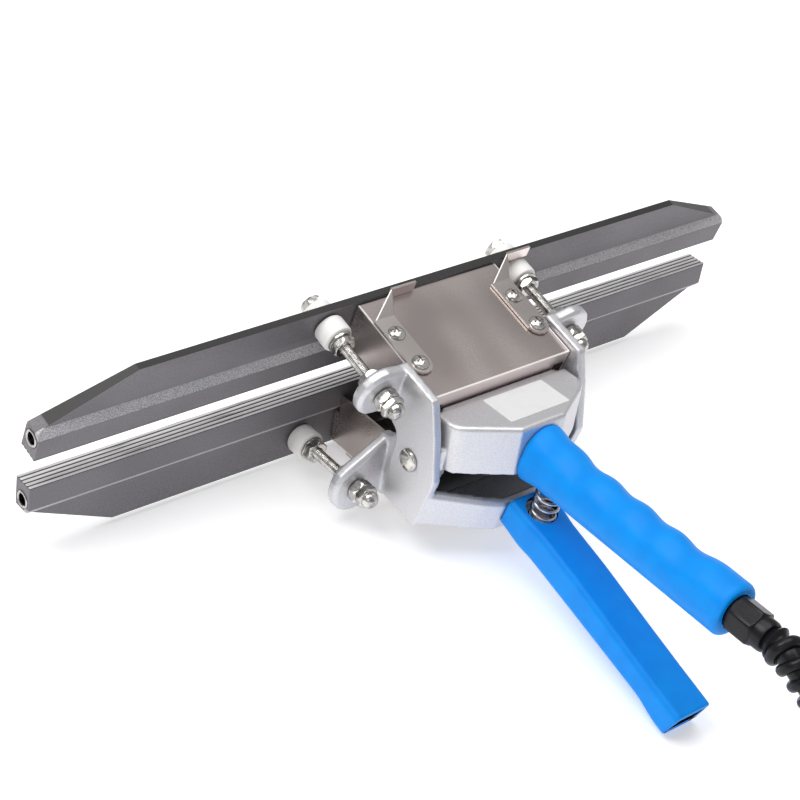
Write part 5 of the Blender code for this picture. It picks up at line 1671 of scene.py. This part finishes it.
@dataclass
class NamePlate:
    """Blank plate on the roof of the upper casting; sizes in the lever's frame."""

    lever: Lever
    centre: Span = (4.0 * MM, -16.3 * MM)
    size: Span = (34.4 * MM, 19.4 * MM)
    roof_front: float = 25.6 * MM
    roof_start: float = 3.4 * MM
    roof_slope: float = 1.4 / 29.6
    thickness: float = 0.3 * MM
    depth: float = 0.35 * MM
    corner: float = 0.9 * MM
    corner_steps: int = 6

    def build(self) -> None:
        """Make the plate with rounded corners and eased edges."""
        wide, long = self.size[0] / 2 - self.corner, self.size[1] / 2 - self.corner
        thick, rings = self.thickness, []
        for inset, height in ((0.0, -self.depth), (0.0, thick * 0.6), (thick * 0.4, thick)):
            ring = []
            for turn, (sx, sy) in enumerate(((1, 1), (-1, 1), (-1, -1), (1, -1))):
                for step in range(self.corner_steps + 1):
                    angle, reach = pi / 2 * (turn + step / self.corner_steps), self.corner - inset
                    ring.append(Vector((sx * wide + reach * cos(angle),
                                        sy * long + reach * sin(angle), height)))
            rings.append(ring)
        mesh = lofted("blank_plate", rings)
        height = self.roof_front - self.roof_slope * (self.centre[1] + self.roof_start)
        mesh.transform(self.lever.matrix @ Matrix.Translation((*self.centre, height))
                       @ Matrix.Rotation(-atan2(self.roof_slope, 1.0), 4, "X"))
        self.lever.piece("blank_plate", mesh, BlankPlate)


@dataclass
class HeatShield:
    """Bent black sheet between the hot covers and the hand, hung under the upper casting's roof; an
    inferred piece, its black partly standing in for the shade inside the casting.
    """

    lever: Lever
    half_width: float = 33.9 * MM
    foot: float = -31 * MM
    top: float = 22.4 * MM
    face: float = 0.6 * MM
    flange: float = 9 * MM
    thickness: float = 0.9 * MM
    bend: float = 2 * MM
    bend_steps: int = 6

    def build(self) -> None:
        """Make the sheet: an upright wall, a round bend and a flange under the roof."""
        radius = self.bend
        line = [(self.face, self.foot), (self.face, self.top - radius)]
        line += [(self.face - radius * (1 - x), self.top - radius * (1 - y))
                 for x, y in quarter(self.bend_steps)[1:]]
        line.append((self.face - self.flange, self.top))
        rings = []
        for place, (y, z) in enumerate(line):
            before, after = line[max(place - 1, 0)], line[min(place + 1, len(line) - 1)]
            way = Vector((0.0, after[0] - before[0], after[1] - before[1])).normalized()
            out = Vector((0.0, way.z, -way.y)) * self.thickness / 2
            left, right = (Vector((side.value * self.half_width, y, z)) for side in Side)
            rings.append([left - out, right - out, right + out, left + out])
        mesh = self.lever.placed(lofted("heat_shield", rings))
        # black sheet, partly painted shade for the inside of the casting
        self.lever.piece("heat_shield", mesh, DarkLining())


# ---------------------------------------------------------------------------- covers
@dataclass
class CoverSet:
    """Sheet cover of one jaw with its two brackets and their screws."""

    lever: Lever
    row_tree: RepeatTree
    sheet_side: float
    sheet_face: float = 33.4 * MM
    inset: float = 5.7 * MM
    screw_places: Span = (23.5 * MM, 41.6 * MM)
    strip: float = 1.2 * MM
    seat_gap: float = 0.02 * MM

    def build(self) -> None:
        """Make the cover, the brackets and the screws."""
        lever, word, way = self.lever, self.lever.word, self.lever.jaw.value
        sheet = replace(lever.dressed(StainlessSheet), side=self.sheet_side, crown=self.sheet_face)
        cover = rounded_copy(f"{word}_cover", Edge.EASED)
        lever.piece(f"{word}_sheet_cover", cover, sheet, f"{word}_cover")
        nodes = [f"{word}_bracket_{side.name.lower()}" for side in Side]
        for node in nodes:
            lever.piece(f"{node}_sheet", rounded_copy(node, Edge.CRISP), BracketSheet, node)
        face = way * (self.sheet_face + self.strip + self.seat_gap)
        offset = self.sheet_side - self.inset
        points = [Vector((side.value * offset, place, face))
                  for side in Side for place in self.screw_places]
        pattern = Screws().pattern()
        pattern.transform(Matrix.Rotation(way * pi / 2, 4, "X"))
        mesh = self.row_tree.bake("bracket_screws", points, lever.dressed(BrightNickel), Pattern=pattern,
                                  Greatest_turn=0.0, Seed=5)
        lever.piece(f"{word}_bracket_screws", lever.placed(mesh), BrightNickel,
                    *(f"{node}_{end}_screw" for node in nodes for end in ("rear", "front")))


# ---------------------------------------------------------------------------- grips
def eased(share: float) -> float:
    """A share held between 0 and 1, with a smooth start and end."""
    held = min(1.0, max(0.0, share))
    return held * held * (3 - 2 * held)


@dataclass
class SpringPocket:
    """Round pocket of the return spring in a grip."""

    reach: float = 44.5 * MM
    radius: float = 7.6 * MM
    sides: int = 64

    def holds(self, spot: Vector) -> bool:
        """Whether a point of a lever's frame lies on the pocket's wall."""
        return abs(hypot(spot.x, spot.y + self.reach) - self.radius) < NEAR_WALL

    def cutter(self, low: float, high: float) -> Mesh:
        """Upright round cutter between two heights over the pivot."""
        ring = circle(self.radius, 0.0, self.sides)
        return lofted("pocket", [[Vector((p.x, p.z - self.reach, height)) for p in ring]
                                 for height in (low, high)])


@dataclass
class UpperGrip:
    """Round sleeve with finger waves on its upper left, and a rounded rear end."""

    lever: Lever
    radius: float = 11.6 * MM
    axis_height: float = 9.05 * MM
    front: float = 33.3 * MM
    end: float = 153.5 * MM
    end_rounding: float = 3 * MM
    swell: float = 1.3 * MM
    front_rise: float = 1.7 * MM
    front_corner: float = 1.2 * MM
    corner_side: float = radians(222.0)
    corner_power: int = 6
    front_swell_end: float = 48 * MM
    rear_swell_start: float = 138 * MM
    swell_run: float = 10 * MM
    finger_rise: float = 1.5 * MM
    finger_pitch: float = 20.3 * MM
    finger_depth: float = 1.4 * MM
    first_crest: float = 72 * MM
    finger_centre: float = radians(67.5)
    finger_spread: float = 0.6
    finger_blur: float = 0.0025
    bore: float = 7.9 * MM
    front_lip: tuple[Span, ...] = ((0.35 * MM, 0.0), (0.1 * MM, 0.12 * MM), (0.0, 0.4 * MM))
    tang_height: float = 11.1 * MM
    sides: int = 72
    end_steps: int = 8
    step: float = 1.2 * MM

    def reach(self, y: float) -> Callable[[float], float]:
        """Section at a place along the grip.

        Args:
            y: The place, in the lever's frame.

        Returns:
            Radius over the angle from +X.
        """
        swell = 1 - eased((-y - self.front_swell_end) / self.swell_run)
        swell += eased((-y - self.rear_swell_start + self.swell_run) / self.swell_run)
        wave = (1 - cos(2 * pi * (-y - self.first_crest) / self.finger_pitch)) / 2
        rise = self.finger_rise + swell * self.swell - (1 - swell) * wave * self.finger_depth
        fading = 1 - eased((-y - self.front) / self.swell_run)
        power, least = self.finger_spread / 2, self.finger_blur

        def radius(angle: float) -> float:
            """Radius at an angle.

            Args:
                angle: Angle from +X.

            Returns:
                The radius.
            """
            facing = max(0.0, cos(angle - self.finger_centre)) ** 2
            corner = self.front_corner * max(0.0, cos(angle - self.corner_side)) ** self.corner_power
            finger = rise * ((facing + least) ** power - least ** power)
            return self.radius + finger + fading * (self.front_rise * facing + corner)
        return radius

    def mesh(self) -> Mesh:
        """The sleeve with its bore and the spring's pocket.

        Returns:
            The mesh, in place.
        """
        axis, tang, sides = (0.0, self.axis_height), (0.0, self.tang_height), self.sides
        straight = self.end - self.end_rounding
        count = round((straight - self.front) / self.step)
        rings = [circle(self.bore, -self.front, sides, tang)]
        first = self.reach(-self.front)
        for ease, forth in self.front_lip:
            rings.append(circle(lambda angle, ease=ease: first(angle) - ease,
                                -self.front - forth, sides, axis))
        for number in range(2, count + 1):
            y = -self.front - (straight - self.front) * number / count
            rings.append(circle(self.reach(y), y, sides, axis))
        last, lip = rings[-1], circle((self.bore + self.radius) / 2, -self.end, sides, tang)
        for x, y in quarter(self.end_steps)[1:-1]:
            ring = [p.lerp(q, 1 - x) for p, q in zip(last, lip)]
            rings.append([Vector((p.x, -straight - self.end_rounding * y, p.z)) for p in ring])
        rings += [lip, circle(self.bore, -self.end, sides, tang)]
        sleeve = lofted("grip_sleeve", rings, looped=True, crease=GRIP_CREASE)
        pocket = SpringPocket().cutter(-self.radius - 3 * MM, self.axis_height)
        return self.lever.placed(cut("upper_grip_sleeve", sleeve, [pocket], GRIP_CREASE))

    def build(self) -> None:
        """Make the grip, with painted shade inside its bore and pocket."""
        sleeve = self.lever.piece("upper_grip_sleeve", self.mesh(), GripPlastic, "upper_grip")
        back, pocket = self.lever.matrix.inverted(), SpringPocket()

        def inside(middle: Vector) -> bool:
            """Whether a point lies on the wall of the bore or of the pocket.

            Args:
                middle: The point, in the world.

            Returns:
                Whether it does.
            """
            spot = back @ middle
            bored = hypot(spot.x, spot.z - self.tang_height) < self.bore + NEAR_WALL
            return bored or (spot.z < self.axis_height and pocket.holds(spot))
        # the black lining is painted shade on the walls of the bore and the pocket
        lined(sleeve, DarkLining(), inside)


@dataclass
class LowerGrip:
    """Flat-sided sleeve, open at the rear, its section given at stations along it."""

    lever: Lever
    front: float = 34.6 * MM
    end: float = 155.8 * MM
    end_lean: float = 2.6 * MM
    half_width: float = 10.4 * MM
    collar: float = 0.9 * MM
    top: float = 4 * MM
    top_drop: float = 5.6 * MM
    bottom: float = 20.4 * MM
    heel: float = 5.8 * MM
    top_corner: float = 3.2 * MM
    bottom_corner: float = 4.4 * MM
    corner_steps: int = 10
    flat_steps: int = 5
    wall: float = 2.6 * MM
    rings_along: int = 90
    blur: float = 0.02
    lean_start: float = 0.9
    stations: tuple[tuple[float, float, float, float], ...] = (
        (0.0, 1.0, 0.0, 0.0), (0.12, 1.0, 0.0, 0.22), (0.17, 0.0, 0.02, 0.24), (0.38, 0.0, 0.14, 0.3),
        (0.64, 0.0, 0.56, 0.4), (0.83, 0.0, 0.82, 0.5), (0.91, 0.0, 0.9, 0.92), (1.0, 0.0, 1.0, 1.0))

    def station(self, share: float) -> tuple[float, float, float]:
        """Collar, drop and heel at a share of the length, read smoothly between the stations.

        Args:
            share: Share of the length.

        Returns:
            The three values.
        """
        place = max(n for n, stop in enumerate(self.stations[:-1]) if stop[0] <= share)
        near, far = self.stations[place], self.stations[place + 1]
        way = (share - near[0]) / (far[0] - near[0])
        return tuple(a + (b - a) * (eased(way) if number == 0 else way)
                     for number, (a, b) in enumerate(zip(near[1:], far[1:])))

    def section(self, share: float, wall: float, ease: float = 0.0) -> list[Vector]:
        """Rounded section at a share of the length.

        Args:
            share: Share of the length.
            wall: Distance inside the skin.
            ease: Extra distance in, for a rounded rim.

        Returns:
            Its points.
        """
        around = [self.station(min(1.0, max(0.0, share + shift))) for shift in (-self.blur, 0.0, self.blur)]
        collar, drop, heel = (sum(values) / 3 for values in zip(*around))
        y = -self.front - share * (self.end - self.front)
        inset = wall + ease
        half = self.half_width + collar * self.collar - inset
        top = -self.top - drop * self.top_drop - inset
        bottom = -self.bottom - heel * self.heel + inset
        lower = max(self.bottom_corner - inset, self.bottom_corner / 4)
        upper = max(self.top_corner - inset, self.top_corner / 4)
        corners = ((half, bottom, lower, -pi / 2), (half, top, upper, 0.0),
                   (-half, top, upper, pi / 2), (-half, bottom, lower, pi))
        outline = []
        for x, z, corner, start in corners:
            middle = Vector((x - corner if x > 0 else x + corner, 0.0,
                             z + corner if z == bottom else z - corner))
            for step in range(self.corner_steps + 1):
                angle = start + pi / 2 * step / self.corner_steps
                outline.append(middle + corner * Vector((cos(angle), 0.0, sin(angle))))
        ring = []
        for place, point in enumerate(outline):
            ring.append(point)
            if (place + 1) % (self.corner_steps + 1) == 0:
                after = outline[(place + 1) % len(outline)]
                ring += [point.lerp(after, step / self.flat_steps) for step in range(1, self.flat_steps)]
        lean = self.end_lean * eased((share - self.lean_start) / (1 - self.lean_start))
        for point in ring:
            point.y = y + lean * (top - point.z) / (top - bottom)
        return ring

    def mesh(self) -> Mesh:
        """The sleeve, hollow from end to end, with the spring's pocket.

        Returns:
            The mesh, in place.
        """
        shares = [number / self.rings_along for number in range(self.rings_along + 1)]
        outer = [self.section(share, 0.0) for share in shares]
        outer[0] = self.section(0.0, 0.0, 0.5 * MM)
        outer.insert(1, self.section(0.004, 0.0))
        outer[-1] = self.section(1.0, 0.0, 0.45 * MM)
        outer.insert(-1, self.section(0.995, 0.0, 0.1 * MM))
        inner = [self.section(share, self.wall) for share in shares]
        inner[0] = self.section(0.0, self.wall, -0.2 * MM)
        sleeve = lofted("grip_sleeve", outer + inner[::-1], looped=True, crease=GRIP_CREASE)
        pocket = SpringPocket().cutter(-(self.top + self.bottom) / 2, 3 * MM)
        return self.lever.placed(cut("lower_grip_sleeve", sleeve, [pocket], GRIP_CREASE))

    def build(self) -> None:
        """Make the grip, with painted shade inside."""
        sleeve = self.lever.piece("lower_grip_sleeve", self.mesh(), GripPlastic, "lower_grip")
        back, pocket, skin = self.lever.matrix.inverted(), SpringPocket(), self.wall * 0.6

        def inside(middle: Vector) -> bool:
            """Whether a point lies within the sleeve's wall or on the pocket's.

            Args:
                middle: The point, in the world.

            Returns:
                Whether it does.
            """
            spot = back @ middle
            share = (-spot.y - self.front) / (self.end - self.front)
            collar, drop, heel = self.station(min(0.999, max(0.0, share)))
            across = abs(spot.x) < self.half_width + collar * self.collar - skin
            low, high = -self.bottom - heel * self.heel, -self.top - drop * self.top_drop
            upright = low + skin < spot.z < high - skin
            pocketed = spot.z > -(self.top + self.bottom) / 2 and pocket.holds(spot)
            return (across and upright and share < 0.998) or pocketed
        # the black lining is painted shade inside the sleeve and on the pocket's wall
        lined(sleeve, DarkLining(), inside)


@dataclass
class ReturnSpring:
    """Compression spring that stands between the pockets of the two levers."""

    upper: Lever
    lower: Lever
    tree: RepeatTree
    reach: float = 44.5 * MM
    coil_radius: float = 5.66 * MM
    wire_radius: float = 0.74 * MM
    curls: float = 5.0

    def build(self) -> None:
        """Make the spring, fixed in place and attached to neither lever."""
        low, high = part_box("return_spring")
        x, y = self.upper.pivot.x, self.upper.pivot.y - self.reach
        foot, top, finish = low.z + self.wire_radius, high.z - self.wire_radius, SpringWire()
        mesh = self.tree.bake("return_coil", [Vector((x, y, foot))], finish, Coil_radius=self.coil_radius,
                              Wire_radius=self.wire_radius, Height=top - foot, Curls=self.curls)
        spring = add_piece("return_coil", mesh, finish, None, ["return_spring"])
        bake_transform(spring)


@dataclass
class PivotScrews:
    """Slotted screws in the pivot bores, outside the plates."""

    lever: Lever
    screw: Screws = field(default_factory=lambda: Screws(5.3 * MM, 2.1 * MM, (4 * MM, 10.8 * MM), True))
    seat: float = 45.0 * MM
    turns: Span = (1.3, 1.1)

    def build(self) -> None:
        """Make both screws."""
        meshes = []
        for side, turn in zip(Side, self.turns):
            mesh = self.screw.pattern()
            mesh.transform(Matrix.Translation((side.value * self.seat, 0.0, 0.0))
                           @ Matrix.Rotation(-side.value * pi / 2, 4, "Z") @ Matrix.Rotation(turn, 4, "Y"))
            meshes.append(mesh)
        mesh = self.lever.placed(joined("pivot_screws", meshes))
        self.lever.piece("pivot_screws", mesh, BrightNickel,
                         *(f"pivot_screw_{side.name.lower()}" for side in Side))


# ---------------------------------------------------------------------------- studio
@dataclass(frozen=True)
class SoftBox:
    """Square area light."""

    name: str
    place: Point
    width: float
    power: float
    towards: Point = (0.0, 0.0, 0.0)

    def hang(self) -> None:
        """Put the light in the scene."""
        data = bpy.data.lights.new(self.name, "AREA")
        data.shape, data.size, data.size_y, data.energy = "RECTANGLE", self.width, self.width, self.power
        light = linked(self.name, data)
        light.location = self.place
        light.rotation_euler = (Vector(self.towards) - light.location).to_track_quat("-Z", "Y").to_euler()


@dataclass
class Studio:
    """Camera, pale floor and soft lights."""

    camera_place: Point = (-0.57788, -0.41567, 0.65503)
    camera_turn: Point = (49.585, -12.282, -37.716)
    lens: float = 96.365
    sensor: float = 36.0
    floor_reach: float = 4.0
    sky: Colour = shade(0.985, 0.985, 1.0)
    sky_strength: float = 0.44
    boxes: tuple[SoftBox, ...] = (SoftBox("key", (-0.9, 0.5, 1.5), 0.9, 13.0),
                                  SoftBox("fill", (-0.85, -0.7, 0.6), 0.7, 0.95, (0.0, 0.0, 0.05)),
                                  SoftBox("top", (0.2, 0.3, 1.9), 1.4, 15.0))

    def build(self) -> None:
        """Set the camera, the floor, the backdrop light and the soft boxes."""
        scene, reach = bpy.context.scene, self.floor_reach
        data = bpy.data.cameras.new("camera")
        data.lens, data.sensor_width, data.clip_start = self.lens, self.sensor, 10 * MM
        scene.camera = linked("camera", data)
        scene.camera.location = self.camera_place
        scene.camera.rotation_euler = [radians(angle) for angle in self.camera_turn]
        mesh = bpy.data.meshes.new("floor")
        mesh.from_pydata([(x, y, 0.0) for x, y in ((-reach, -reach), (reach, -reach), (reach, reach),
                                                   (-reach, reach))], [], [(0, 1, 2, 3)])
        mesh.materials.append(PaleFloor().material())
        linked("floor", mesh)
        scene.world = bpy.data.worlds.new("studio")
        scene.world.use_nodes = True
        backdrop = scene.world.node_tree.nodes["Background"].inputs
        backdrop["Color"].default_value, backdrop["Strength"].default_value = self.sky, self.sky_strength
        for box in self.boxes:
            box.hang()
        scene.view_settings.view_transform = "Standard"


# ---------------------------------------------------------------------------- the tool
def main() -> None:
    """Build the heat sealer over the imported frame."""
    logging.basicConfig(level=logging.INFO, format="%(name)s %(message)s")
    pivot = Vector(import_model()["joints"][0]["pos_m"])
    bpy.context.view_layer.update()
    lower_jaw = Lever("upper_grip_lever", Jaw.LOWER, tilt=-6.883, pivot=pivot)
    upper_jaw = Lever("lower_grip_lever", Jaw.UPPER, tilt=7.517, pivot=pivot)
    row_tree, rod_tree = fastener_tree(), thread_tree()
    assemblies = [CordSet(lower_jaw), Casting(lower_jaw, "upper_handle_frame"),
                  Casting(upper_jaw, "lower_handle_frame"), NamePlate(lower_jaw), HeatShield(lower_jaw)]
    for lever, side in ((lower_jaw, 34.9 * MM), (upper_jaw, 39.9 * MM)):
        assemblies += [JawSet(lever), Fasteners(lever, row_tree, rod_tree), CoverSet(lever, row_tree, side)]
    assemblies += [PivotScrews(upper_jaw), UpperGrip(lower_jaw), LowerGrip(upper_jaw),
                   ReturnSpring(lower_jaw, upper_jaw, coil_tree()), Studio()]
    for assembly in assemblies:
        assembly.build()


if __name__ == "__main__":
    main()
